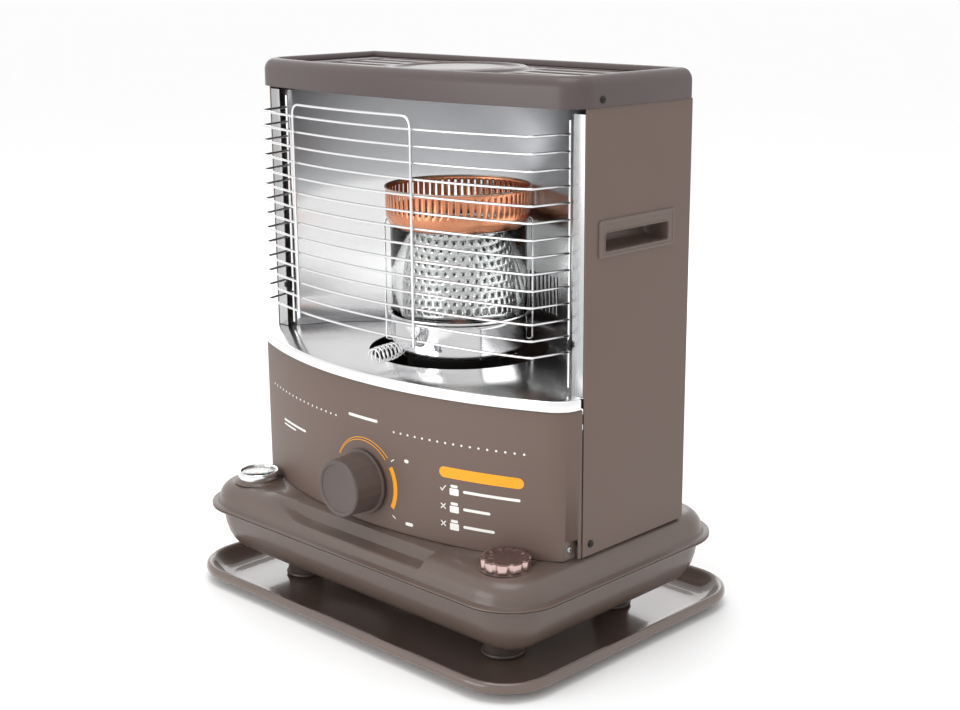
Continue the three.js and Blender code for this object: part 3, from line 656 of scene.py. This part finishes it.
def screwHead(name, spot, axis, radius, material, like, replaces=()):
    # pan head with a dark cross laid on top as painted shade for its cross recess, its flat side on the sheet
    bm = bmesh.new()
    profile = [(0, 0), (radius * 1.05, 0), (radius, radius * 0.28), (radius * 0.78, radius * 0.5),
               (radius * 0.4, radius * 0.58), (0, radius * 0.6)]
    spun(bm, profile, 0, 0, 28, closed=False)
    bmesh.ops.remove_doubles(bm, verts=bm.verts, dist=0.001)
    turn = Vector(axis).to_track_quat("Z", "Y").to_matrix()
    bmesh.ops.rotate(bm, cent=(0, 0, 0), matrix=turn, verts=bm.verts)
    bmesh.ops.translate(bm, vec=spot, verts=bm.verts)
    head = place(bm, name, material, like, replaces)
    # the recess is not cut: a thin dark cross in the rubber finish stands on the head as painted shade
    bm = bmesh.new()
    for long, wide in ((1.15, 0.24), (0.24, 1.15)):
        block(bm, (-long * radius / 2, -wide * radius / 2, radius * 0.5),
              (long * radius / 2, wide * radius / 2, radius * 0.63), 0)
    bmesh.ops.rotate(bm, cent=(0, 0, 0), matrix=turn, verts=bm.verts)
    bmesh.ops.translate(bm, vec=spot, verts=bm.verts)
    place(bm, name + "PaintedRecessShade", "rubber", like)
    return head


def makeBasePlate():
    low, high = span("base_plate")
    inner = cabinet["half"] - cabinet["sheet"] - 0.3
    top = high.z
    bm = bmesh.new()
    lip = [(1.2, low.z + 0.2), (0.3, low.z), (0, low.z + 0.4), (0, top - 1.6), (0.25, top - 0.8),
           (0.8, top - 0.25), (1.6, top)]
    pressed(bm, lambda inset: bowFront(lipPlan, inset), lip, closed=False)
    front = bowFront(lipPlan, 1.6)
    back = [(inner, front[-1][1]), (inner, high.y), (-inner, high.y), (-inner, front[0][1])]
    deck = ring(bm, front + back, top)
    hole = ring(bm, circle(0, 2.5, 87, 96), top)
    fillFlat(bm, deck + hole)
    well = ring(bm, circle(0, 2.5, 87, 96), top - 1.2)
    bmesh.ops.bridge_loops(bm, edges=hole + well)
    piece = place(bm, "basePlate", "deck_steel", "base_plate", ["base_plate"])
    return piece


def makeHandleCups():
    for side, name in ((-1, "left"), (1, "right")):
        low, high = span(f"handle_cup_{name}")
        face = cabinet["half"]
        centreY, frameZ = (low.y + high.y) / 2, (low.z + high.z) / 2
        halfY, halfZ = (high.y - low.y) / 2, (high.z - low.z) / 2
        bm = bmesh.new()

        def bezel(inset):
            return roundedRectangle(halfY, halfZ, 3, 0, inset, 6)

        def mouth(inset):
            return roundedRectangle(43, 8.1, 2.4, -3, inset, 6)

        frontRings = pressed(bm, bezel, [(0, 0.02), (0, 0.8), (0.3, 1.2), (0.9, 1.5), (2, 1.5),
                                         (2.6, 1.3), (3, 0.9)])
        cupRings = pressed(bm, mouth, [(-1.4, 0.9), (-1.1, 1.4), (-0.5, 1.5), (0, 1.1), (0.3, 0.2),
                                       (0.5, -1), (0.7, -8),
                                     (1.2, -14), (2.2, -18.6), (4, -21.6), (6, -22.6), (6.4, -22.7)])
        fillFlat(bm, frontRings[-1] + cupRings[0])
        fillFlat(bm, cupRings[-1])
        # depth runs along X, the plan's x along Y, the plan's y along Z
        turn = Matrix(((0, 0, 1), (1, 0, 0), (0, 1, 0)))
        bmesh.ops.rotate(bm, cent=(0, 0, 0), matrix=turn, verts=bm.verts)
        if side < 0:
            bmesh.ops.scale(bm, vec=(-1, 1, 1), verts=bm.verts)
        bmesh.ops.translate(bm, vec=(side * (face + 0.02), centreY, frameZ), verts=bm.verts)
        place(bm, f"handleRecess{name.title()}", "cup_enamel", f"handle_cup_{name}", [f"handle_cup_{name}"])


def makeCap():
    low, high = span("top_cap")
    top = high.z
    bm = bmesh.new()
    section = [(0, low.z), (0, 508), (0.2, 510.6), (0.9, 513.2), (2.2, 515.6), (3.9, 517.6), (6, 519),
               (8.2, 519.8),
               (10, top), (11.6, 519.8), (12.8, 519.2), (13.6, 518.2), (14, 516.8), (14.1, 515),
               (13, 515), (12.6, 516.8),
               (11, 518.4), (9, 518.6), (6, 517.6), (3.4, 515), (1.8, 511.4), (1.2, 508), (1.2, low.z)]
    pressed(bm, lambda inset: bowOutline(capPlan, inset), section, loop=True)
    place(bm, "topCap", "cap_enamel", "top_cap", ["top_cap"])


def makeTopPlate():
    plate = {"z": 514.4, "sheet": 1.0, "boss": 69, "rows": 5, "pitch": 25, "firstY": -38, "slot": 3.4,
             "end": 160}
    axisY = middle("burner_drum").y
    bm = bmesh.new()
    outline = ring(bm, bowOutline(capPlan, 10.2), plate["z"])
    slots = []
    for row in range(plate["rows"]):
        y = plate["firstY"] + row * plate["pitch"]
        start = math.sqrt(84 ** 2 - (y - axisY) ** 2)
        for side in (-1, 1):
            centreX = side * (start + plate["end"]) / 2
            half = (plate["end"] - start) / 2
            points = [(x + centreX, py) for x, py in roundedRectangle(half, plate["slot"], plate["slot"],
                                                            y, 0, 6)]
            slots += ring(bm, points, plate["z"])
    slots += ring(bm, roundedRectangle(40, plate["slot"], plate["slot"], -63.5, 0, 6), plate["z"])
    boss = ring(bm, circle(0, axisY, plate["boss"], 96), plate["z"])
    fillFlat(bm, outline + slots + boss)
    place(bm, "topPlate", "cap_enamel", "top_grille", ["top_grille"], thickness=plate["sheet"])
    bm = bmesh.new()
    z = plate["z"]
    dome = [(plate["boss"], z), (67.4, z + 0.3), (66, z + 1.2), (64.6, z + 2), (62.6, z + 2.3),
            (60.4, z + 2), (58.8, z + 1),
            (57.4, z + 0.3), (55, z + 0.1), (50, z), (47.6, z + 0.2), (46, z + 0.9), (44, z + 1.5),
            (40, z + 1.8), (20, z + 2.1), (0, z + 2.2)]
    spun(bm, dome, 0, axisY, 96, closed=False)
    place(bm, "topBoss", "cap_enamel", "top_grille", thickness=plate["sheet"])


def makeReflector():
    low, high = span("reflector")
    wall = {"flangeY": -46, "backY": 78, "reach": 187, "sheet": 0.8}
    slot = {"eachSide": 11, "low": 279, "high": 316.5, "round": 1.3}
    depth = wall["backY"] - wall["flangeY"]
    radius = (wall["reach"] ** 2 + depth ** 2) / (2 * depth)
    centreY = wall["backY"] - radius
    start = math.degrees(math.asin((wall["flangeY"] - centreY) / radius))
    # an odd count of equal columns puts one on the centre line, and every second one there is a slot
    columns = 145
    curve = arc(0, centreY, radius, start, 180 - start, columns)
    path = [(high.x, wall["flangeY"])] + curve + [(low.x, wall["flangeY"])]
    levels = [low.z, slot["low"], slot["high"], high.z]
    bm = bmesh.new()
    pressed(bm, lambda inset: path, [(0, z) for z in levels], closed=False)
    pitch = math.radians(180 - 2 * start) / columns
    gone = []
    for face in bm.faces:
        spot = face.calc_center_median()
        if not slot["low"] < spot.z < slot["high"]:
            continue
        column = round((math.atan2(spot.y - centreY, spot.x) - math.pi / 2) / pitch)
        if column % 2 == 0 and abs(column) <= 2 * slot["eachSide"]:
            gone.append(face)
    corners = list({v for f in gone for v in f.verts})
    bmesh.ops.delete(bm, geom=gone, context="FACES")
    bmesh.ops.bevel(bm, geom=corners, offset=slot["round"], segments=3, affect="VERTICES", profile=0.5,
                    material=-1)
    piece = place(bm, "reflectorSheet", "reflector_steel", "reflector", ["reflector"],
                  thickness=wall["sheet"])
    back = piece.data.polygons[len(piece.data.polygons) // 2]
    if back.normal.y > 0:
        piece.modifiers["wall"].offset = 1


def makeRails():
    for side, name in ((-1, "left"), (1, "right")):
        low, high = span(f"rail_{name}")
        inner = min(abs(low.x), abs(high.x))
        screwHead(f"railScrew{name.title()}", (side * 191, -47, 450), (0, -1, 0), 2.6, "blackened_steel",
                  f"rail_{name}")
        bm = bmesh.new()
        block(bm, (min(side * inner, side * 205.8), low.y, low.z),
              (max(side * inner, side * 205.8), low.y + 1.1, high.z), 0.3, 3)
        block(bm, (min(side * 204.6, side * 205.8), low.y + 0.6, low.z),
              (max(side * 204.6, side * 205.8), high.y, high.z), 0.3, 3)
        place(bm, f"sideRail{name.title()}", "rail_steel", f"rail_{name}", [f"rail_{name}"])
        screwHead(f"sideScrew{name.title()}", (side * 207.6, -43.7, 112.8), (side, 0, 0), 3.2,
                  "blackened_steel",
                  f"side_screw_{name}", [f"side_screw_{name}"])
        screwHead(f"capScrew{name.title()}", (side * 209.1, -36, 500), (side, 0, 0), 3.0, "blackened_steel",
                  f"cap_screw_{name}", [f"cap_screw_{name}"])
        low, high = span(f"guard_clip_{name}")
        bm = bmesh.new()
        block(bm, (low.x, low.y + 2, low.z), (high.x, high.y, high.z), 0.7, 3)
        block(bm, (low.x, low.y, low.z + 2.4), (high.x, low.y + 3, high.z - 2.4), 0.5, 3)
        place(bm, f"guardCatch{name.title()}", "blackened_steel", f"guard_clip_{name}",
              [f"guard_clip_{name}"])


guard = {"wire": 1.2, "rows": 14, "pitch": 14.37, "topZ": 471.5, "pivotX": 186.5, "pivotY": -50,
         "bowX": 178, "shoulderY": -89, "apexY": -115}


def hoopPath(z):
    rise = guard["shoulderY"] - guard["apexY"]
    radius = (guard["bowX"] ** 2 + rise ** 2) / (2 * rise)
    half = math.degrees(math.asin(guard["bowX"] / radius))
    bow = arc(0, guard["apexY"] + radius, radius, -90 - half, -90 + half, 40)
    shoulder = 3  # bend radius where the hoop turns back to the upright
    points = [(-guard["pivotX"], guard["pivotY"], z)] + [(x, y, z) for x, y in bow[2:-2]]
    points.append((guard["pivotX"], guard["pivotY"], z))
    left = smoothPath([points[0], (*bow[0], z), points[1]], shoulder)
    right = smoothPath([points[-2], (*bow[-1], z), points[-1]], shoulder)
    return left[:-1] + [Vector(p) for p in points[1:-1]] + right[1:]


def makeGuard():
    bm = bmesh.new()
    for row in range(guard["rows"]):
        wire(bm, hoopPath(guard["topZ"] - row * guard["pitch"]), guard["wire"], resolution=2)
    low, high = span("guard")
    for side in (-1, 1):
        x, y = side * guard["pivotX"], guard["pivotY"]
        wire(bm, [(x, y, low.z + 1), (x, y, high.z - 3)], 1.5, resolution=3)
    loop = {"left": -106, "right": 60, "foot": 279, "head": high.z - 3, "bend": 11}
    corners = [(loop["left"], 0, loop["foot"]), (loop["left"], 0, loop["head"]),
               (loop["right"], 0, loop["head"]),
               (loop["right"], 0, loop["foot"])]
    wire(bm, bowCross(smoothPath(corners, loop["bend"], 8)), guard["wire"], resolution=3)
    place(bm, "guardWires", "wire_chrome", "guard", ["guard"], sharp=50)


def bowCross(path):
    # the loop's long top run follows the guard's bow
    rise = guard["shoulderY"] - guard["apexY"]
    radius = (guard["bowX"] ** 2 + rise ** 2) / (2 * rise)
    centreY = guard["apexY"] + radius
    bent = []
    for before, after in zip(path, path[1:]):
        steps = 24 if abs(after.x - before.x) > 40 else 1
        for i in range(steps):
            point = before.lerp(after, i / steps)
            point.y = centreY - math.sqrt(radius ** 2 - point.x ** 2) - 2 * guard["wire"]
            bent.append(point)
    last = path[-1].copy()
    last.y = bent[-1].y
    return bent + [last]


axis = middle("burner_drum")


def makeDrum():
    low, high = span("burner_drum")
    bm = bmesh.new()
    top = high.z
    profile = [(56, low.z), (65.4, low.z), (66, low.z + 0.6), (66, 279), (66.3, 281.6), (67.2, 283.4),
               (68.6, 284.4),
               (69, 285.4), (68.8, 286.6), (68, top), (66.6, 286.9), (65.6, 286), (65.2, 285.2),
               (58, 285.2), (50.5, top),
               (50.5, 285.8), (57, 284.2), (64.8, 284), (64.8, 251.5), (56, 251.5)]
    spun(bm, profile, axis.x, axis.y, 128)
    place(bm, "burnerDrum", "polished_steel", "burner_drum", ["burner_drum"], sharp=25)
    bm = bmesh.new()
    spot = Vector((axis.x + 66.3 * math.cos(math.radians(297)),
                   axis.y + 66.3 * math.sin(math.radians(297)), 262))
    block(bm, spot - Vector((3, 1.4, 2.6)), spot + Vector((3, 1.4, 2.6)), 0.6, 3)
    wire(bm, smoothPath([spot + Vector((-4, -1, 4)), spot + Vector((-1, -2.4, 0)),
                         spot + Vector((4, 0.5, -3))], 2), 0.8)
    place(bm, "drumCatch", "zinc_steel", "burner_drum")


def makeGlassTube():
    low, high = span("glass_cylinder")
    bm = bmesh.new()
    base, top = low.z, high.z
    profile = [(64, base + 0.3), (64.3, base), (64.7, base), (65, base + 0.3),
               (65, top - 0.3), (64.7, top), (64.3, top), (64, top - 0.3)]
    spun(bm, profile, axis.x, axis.y, 128)
    place(bm, "glassTube", "clear_glass", "glass_cylinder", ["glass_cylinder"], sharp=60)


def perforated(name, radius, lowZ, columns, holes, material, like, replaces):
    # one square tile with a round hole, repeated in staggered rows and rolled into a tube
    pitch = math.tau * radius / columns
    bm = bmesh.new()
    for row, (height, hole) in enumerate(holes):
        base = lowZ + sum(h for h, _ in holes[:row])
        for column in range(columns):
            left = (column + (0.5 if row % 2 else 0)) * pitch
            corner = [(left + pitch * u, base + height * v) for u, v in
                      ((1, 0.5), (1, 1), (0.5, 1), (0, 1), (0, 0.5), (0, 0), (0.5, 0), (1, 0))]
            if not hole:
                outer = [bm.verts.new((x, z, 0)) for x, z in (corner[7], corner[1], corner[3], corner[5])]
                bm.faces.new(outer)
                continue
            middleX, middleZ = left + pitch / 2, base + height / 2
            inner = [(middleX + hole * math.cos(math.radians(45 * k)),
                      middleZ + hole * math.sin(math.radians(45 * k)))
                     for k in range(8)]
            outerEdges = ring(bm, corner, 0)
            innerEdges = ring(bm, inner, 0)
            bmesh.ops.bridge_loops(bm, edges=outerEdges + innerEdges)
    bmesh.ops.remove_doubles(bm, verts=bm.verts, dist=0.01)
    for vert in bm.verts:
        angle = vert.co.x / radius
        vert.co = (axis.x + radius * math.cos(angle), axis.y + radius * math.sin(angle), vert.co.y)
    bmesh.ops.remove_doubles(bm, verts=bm.verts, dist=0.01)
    return place(bm, name, material, like, replaces, sharp=60, thickness=0.7)


def makeSleeves():
    low, high = span("outer_sleeve")
    rowHeight = 6.6
    rows = int((high.z - low.z - 16) / rowHeight)
    holes = [(5.2, 0), (7.4, 2.6)] + [(rowHeight, 1.45)] * rows
    holes.append((high.z - low.z - sum(h for h, _ in holes), 0))
    perforated("flameSleeve", 53.4, low.z, 40, holes, "sleeve_steel", "outer_sleeve", ["outer_sleeve"])


def makeTopRing():
    low, high = span("top_ring")
    ringShape = {"slots": 66, "slotLow": 385, "slotHigh": 401.5, "radius": 69}
    base, top = low.z, high.z
    columns = ringShape["slots"] * 3
    profile = [(61.6, base), (64.2, base), (65.4, base + 1.4), (66.6, base + 4), (67.8, base + 6.6),
               (68.7, base + 9),
               (69, base + 11.4), (69, ringShape["slotLow"]), (69, ringShape["slotHigh"]), (69, 403.4),
               (69.4, 404.4),
               (69.9, 405.1), (69.8, top - 0.2), (69.2, top)]
    bm = bmesh.new()
    spun(bm, profile, axis.x, axis.y, columns, closed=False)
    bmesh.ops.remove_doubles(bm, verts=bm.verts, dist=0.002)
    gone = []
    for face in bm.faces:
        spot = face.calc_center_median()
        if not ringShape["slotLow"] < spot.z < ringShape["slotHigh"]:
            continue
        column = math.degrees(math.atan2(spot.y - axis.y, spot.x - axis.x)) % 360 / 360 * columns
        if int(column) % 3 == 0:
            gone.append(face)
    bmesh.ops.delete(bm, geom=gone, context="FACES")
    place(bm, "copperRing", "copper_ring", "top_ring", ["top_ring"], sharp=40, thickness=0.9)
    bm = bmesh.new()
    wire(bm, [(axis.x + x, axis.y + y, top - 0.5) for x, y in circle(0, 0, 69.3, 128)], 0.75, cyclic=True,
         resolution=3)
    place(bm, "ringBead", "bead_steel", "top_ring")


def makeGlassWires():
    for side, degrees in (("left", 224), ("right", 44)):
        node = f"glass_wire_{side}"
        bm = bmesh.new()
        angle = math.radians(degrees)

        def spot(radius, z, sideways=0):
            return (axis.x + radius * math.cos(angle) - sideways * math.sin(angle),
                    axis.y + radius * math.sin(angle) + sideways * math.cos(angle), z)

        path = smoothPath([spot(66.2, 256), spot(70.4, 256.6), spot(70.4, 292), spot(70.4, 372),
                           spot(67.2, 375)], 2.4)
        wire(bm, path, 1.0, resolution=3)
        loop = [spot(70.4, 294 + 2.6 * math.sin(math.tau * i / 20),
                     2.6 * math.cos(math.tau * i / 20)) for i in range(20)]
        wire(bm, loop, 0.7, cyclic=True)
        place(bm, f"glassWire{side.title()}", "wire_chrome", node, [node])


def makeCoilHandle():
    low, high = span("coil_handle")
    coil = {"turns": 8.5, "wire": 0.85, "z": (low.z + high.z) / 2, "backY": -73, "frontY": low.y + 1.2,
            "x": 4}
    bm = bmesh.new()
    path = []
    steps = int(coil["turns"] * 24)
    for i in range(steps + 1):
        share = i / steps
        radius = 4.2 + 3.2 * min(1, share * 2.6) - 0.8 * max(0, share - 0.85) / 0.15
        angle = share * coil["turns"] * math.tau
        y = coil["backY"] + (coil["frontY"] - coil["backY"]) * share
        path.append((coil["x"] + share * 4 + radius * math.cos(angle), y,
                     coil["z"] + radius * math.sin(angle)))
    lead = smoothPath([(coil["x"], -63.4, coil["z"]), (coil["x"], -68, coil["z"]), path[0]], 2)
    wire(bm, [tuple(p) for p in lead[:-1]] + path, coil["wire"], resolution=2)
    # the hanger that holds the coil's root: two eyes linked to the drum
    for offset, size in ((3.4, 4.6), (9.2, 3.6)):
        eye = [(coil["x"] + 9 + size * math.cos(math.tau * i / 24), -67.6 - 0.2 * offset,
                coil["z"] + 4 + offset + size * math.sin(math.tau * i / 24)) for i in range(24)]
        wire(bm, eye, 0.8, cyclic=True)
    place(bm, "coilHandle", "wire_chrome", "coil_handle", ["coil_handle"], sharp=60)


def makeKnob():
    low, high = span("knob")
    centre = (low + high) / 2
    knob = {"facets": 18, "depth": high.y - low.y}
    bm = bmesh.new()
    skirt = [(0, 0.02), (30.4, 0.02), (31, 0.7), (31, 2.2), (30.4, 3), (28.6, 3.2), (0, 3.2)]
    spun(bm, skirt, 0, 0, 96, closed=False)
    turn = Matrix.Rotation(math.radians(90), 3, "X")
    bmesh.ops.rotate(bm, cent=(0, 0, 0), matrix=turn, verts=bm.verts)
    bmesh.ops.translate(bm, vec=(centre.x, high.y, centre.z), verts=bm.verts)
    place(bm, "knobSkirt", "knob_plastic", "knob")
    bm = bmesh.new()
    grip = bmesh.ops.create_circle(bm, cap_ends=False, radius=28.6, segments=knob["facets"])["verts"]
    edges = list({e for v in grip for e in v.link_edges})
    for radius, rise in ((28.2, 3.4), (27, 25.8)):
        grown = bmesh.ops.extrude_edge_only(bm, edges=edges)["geom"]
        verts = [v for v in grown if isinstance(v, bmesh.types.BMVert)]
        edges = [e for e in grown if isinstance(e, bmesh.types.BMEdge)]
        present = verts[0].co.xy.length
        bmesh.ops.scale(bm, vec=(radius / present, radius / present, 1), verts=verts)
        bmesh.ops.translate(bm, vec=(0, 0, rise), verts=verts)
    upright = [e for e in bm.edges if abs(e.verts[0].co.z - e.verts[1].co.z) > 20]
    bmesh.ops.bevel(bm, geom=upright, offset=0.9, segments=3, affect="EDGES", profile=0.5, material=-1)
    bmesh.ops.translate(bm, vec=(0, 0, 0.02), verts=bm.verts)
    bmesh.ops.rotate(bm, cent=(0, 0, 0), matrix=turn, verts=bm.verts)
    bmesh.ops.translate(bm, vec=(centre.x, high.y, centre.z), verts=bm.verts)
    place(bm, "knobGrip", "knob_plastic", "knob", sharp=20)
    bm = bmesh.new()
    top = knob["depth"]
    cap = [(27.2, top - 3), (27.1, top - 1.6), (26.4, top - 0.5), (25.4, top), (23.4, top), (22.6, top - 0.4),
           (22.2, top - 1.1), (21.4, top - 1.3), (0, top - 1.2)]
    spun(bm, cap, 0, 0, 96, closed=False)
    bmesh.ops.rotate(bm, cent=(0, 0, 0), matrix=turn, verts=bm.verts)
    bmesh.ops.translate(bm, vec=(centre.x, high.y, centre.z), verts=bm.verts)
    place(bm, "knobFace", "knob_face", "knob", ["knob"], sharp=30)


def printed(name, outlines, material):
    # flat shapes in x, z laid on the bowed panel as a raised film of ink
    bm = bmesh.new()
    for points in outlines:
        verts = [bm.verts.new((x, 0, z)) for x, z in points]
        bm.faces.new(verts)
    low = min(v.co.x for v in bm.verts)
    high = max(v.co.x for v in bm.verts)
    x = low + 6
    while x < high:
        bmesh.ops.bisect_plane(bm, geom=bm.verts[:] + bm.edges[:] + bm.faces[:], plane_co=(x, 0, 0),
                               plane_no=(1, 0, 0))
        x += 6
    bmesh.ops.triangulate(bm, faces=bm.faces)
    thicken(bm, bm.faces[:], (0, -1, 0))
    for vert in bm.verts:
        vert.co.y = panelY(vert.co.x, 0.03 if vert.co.y > -0.5 else 0.16)
    place(bm, name, material, "front_panel")


def bandPoints(x, z, inner, outer, start, end, steps=40):
    # part of a round band; inner and outer may each be a (start, end) pair that tapers
    def at(radii, share):
        return radii[0] + (radii[1] - radii[0]) * share
    outside = []
    inside = []
    for i in range(steps + 1):
        share = i / steps
        angle = math.radians(start + (end - start) * share)
        outside.append((x + at(outer, share) * math.cos(angle), z + at(outer, share) * math.sin(angle)))
        inside.append((x + at(inner, share) * math.cos(angle), z + at(inner, share) * math.sin(angle)))
    return outside + inside[::-1]


def pill(left, right, z, half, corner):
    centre = (left + right) / 2
    return [(x + centre, y) for x, y in roundedRectangle((right - left) / 2, half, corner, z, 0, 6)]


def makePrint():
    knobAt = middle("knob")
    x, z = knobAt.x, knobAt.z
    dots = {"first": 40, "pitch": 8.2, "count": 17, "z": 198, "radius": 1.05}
    outlines = []
    for i in range(dots["count"]):
        for side in (-1, 1):
            spot = side * (dots["first"] + i * dots["pitch"])
            outlines.append(circle(spot, dots["z"], dots["radius"], 14))
    printed("dotRow", outlines, "print_white")
    scale = [bandPoints(x, z, (38.4, 38.4), (43, 43), 30, -27)]
    scale.append(bandPoints(x, z, (39.4, 38.4), (40, 39.2), 152, 42))
    scale.append(bandPoints(x, z, (40.4, 42.2), (41, 43), 152, 42))
    scale.append(pill(91, 171, 171, 5, 5))
    printed("orangeScale", scale, "print_orange")
    white = []
    for angle in (36, -35):
        turn = math.radians(angle)
        tick = [(44.5, -0.5), (49, -0.5), (49, 0.5), (44.5, 0.5)]
        white.append([(x + u * math.cos(turn) - v * math.sin(turn),
                       z + u * math.sin(turn) + v * math.cos(turn)) for u, v in tick])
    white.append(pill(52, 57, z + 30, 1.6, 1.6))
    white.append(pill(52, 61, z - 30, 1.6, 1.6))
    for row, (height, right) in enumerate(((155.3, 168), (138.9, 141), (122.4, 145))):
        white.append(pill(115, right, height, 1.3, 1.3))
        white += heaterSign(106, height)
        white += tickSign(94.7, height) if row == 0 else crossSign(94.7, height)
    white.append(pill(-20, 20, 204, 1.4, 1.4))
    white.append(pill(-146, -96, 168, 1.1, 1.1))
    white.append(pill(-146, -118, 163.6, 0.8, 0.8))
    printed("whiteMarks", white, "print_white")


def heaterSign(x, z):
    return [pill(x - 4.6, x + 4.6, z - 1.6, 3.2, 1), pill(x - 3.6, x + 3.6, z + 3.6, 1.3, 0.6)]


def tickSign(x, z):
    return [[(x - 3.2, z + 0.4), (x - 1, z - 2.6), (x + 3.2, z + 3.2), (x + 2.2, z + 3.4),
             (x - 1, z - 1.1), (x - 2.4, z + 0.9)]]


def crossSign(x, z):
    signs = []
    for turn in (math.radians(45), math.radians(-45)):
        bar = [(-3.4, -0.5), (3.4, -0.5), (3.4, 0.5), (-3.4, 0.5)]
        signs.append([(x + u * math.cos(turn) - v * math.sin(turn),
                       z + u * math.sin(turn) + v * math.cos(turn)) for u, v in bar])
    return signs


def dressNodes():
    for name, made in frame["nodes"].items():
        chosen = materials[{"front_panel": "brown_enamel"}.get(name, slotOf[name])]
        if made.material_slots:
            made.material_slots[0].material = chosen
        else:
            made.data.materials.append(chosen)


def extraMaterials():
    materials["cap_metal"] = polishedMetal(
        "capMetal", paint(222, 196, 190), paint(186, 156, 150), (0.12, 0.24), (1, 1, 0.1), 200)
    materials["cup_enamel"] = coated(
        "cupEnamel", paint(104, 88, 80), paint(96, 81, 74), (0.28, 0.38), bump=0.05, dust=0.02)
    materials["rail_steel"] = polishedMetal(
        "railSteel", paint(188, 188, 188), paint(172, 172, 174), (0.22, 0.32), (1, 1, 0.02), 300, 0.05)
    materials["sleeve_steel"] = polishedMetal(
        "sleeveSteel", paint(204, 204, 204), paint(182, 182, 182), (0.1, 0.3), (1, 1, 1), 160, 0.12)
    materials["bead_steel"] = polishedMetal(
        "beadSteel", paint(220, 210, 200), paint(150, 130, 116), (0.15, 0.3), (1, 1, 1), 160)
    materials["knob_face"] = coated(
        "knobFacePlastic", paint(84, 71, 67), paint(78, 66, 62), (0.38, 0.48), grain=1500, bump=0.1,
        dust=0.02)


def makeFloor():
    bm = bmesh.new()
    bmesh.ops.create_grid(bm, x_segments=1, y_segments=1, size=40)
    mesh = bpy.data.meshes.new("studioFloor")
    bm.to_mesh(mesh)
    bm.free()
    floor = bpy.data.objects.new("studioFloor", mesh)
    bpy.context.scene.collection.objects.link(floor)
    material, tree, surface, place_ = startMaterial("floorPaper", Roughness=0.6, Specular_IOR_Level=0.2)
    cloud = useGroup(tree, finishGrain, place_, Cloud=3)
    tree.links.new(mixColours(tree, cloud["Clouding"], (0.97, 0.97, 0.97, 1), (0.99, 0.99, 0.99, 1)),
                   surface.inputs["Base Color"])
    mesh.materials.append(material)


def addLight(name, spot, target, size, power):  # a soft box that the camera doesn't see
    light = bpy.data.lights.new(name, "AREA")
    light.shape = "RECTANGLE"
    light.size, light.size_y = size
    light.energy = power
    holder = bpy.data.objects.new(name, light)
    bpy.context.scene.collection.objects.link(holder)
    holder.visible_camera = False
    holder.location = spot
    holder.rotation_euler = (Vector(target) - Vector(spot)).to_track_quat("-Z", "Y").to_euler()


def makeStudio():
    makeFloor()
    world = bpy.data.worlds.new("studioWorld")
    bpy.context.scene.world = world
    world.use_nodes = True
    world.node_tree.nodes["Background"].inputs["Color"].default_value = (1, 1, 1, 1)
    world.node_tree.nodes["Background"].inputs["Strength"].default_value = 1.0
    addLight("topBox", (0.1, -0.3, 2.4), (0, 0, 0.2), (1.4, 1.2), 14)
    addLight("frontBox", (-0.5, -2.4, 0.8), (0, 0, 0.38), (1.8, 1.2), 17)
    addLight("rearBox", (-1.7, 1.75, 1.1), (0, 0, 0.5), (2.4, 0.9), 11)
    bpy.context.scene.view_settings.view_transform = "Standard"
    spot = Vector((1.0436, -1.0362, 0.6147))
    target = Vector((0.01418, 0.01658, 0.23962))
    lens = bpy.data.cameras.new("studioCamera")
    lens.sensor_width = 36
    lens.lens = 58.64
    camera = bpy.data.objects.new("studioCamera", lens)
    bpy.context.scene.collection.objects.link(camera)
    aim = (target - spot).to_track_quat("-Z", "Y") @ Quaternion((0, 0, 1), math.radians(-0.39))
    camera.location = spot
    camera.rotation_euler = aim.to_euler()
    bpy.context.scene.camera = camera


extraMaterials()
dressNodes()
makeTray()
makeFeet()
makeLowerShell()
makeUpperShell()
makeFillerCap()
makeGauge()
print("tank done")
makeFrontPanel()
makeBasePlate()
makeHandleCups()
makeCap()
makeTopPlate()
makeReflector()
makeRails()
print("cabinet done")
makeGuard()
makeDrum()
makeGlassTube()
makeSleeves()
makeTopRing()
makeGlassWires()
makeCoilHandle()
print("burner done")
makeKnob()
makePrint()
makeStudio()
print("studio done")
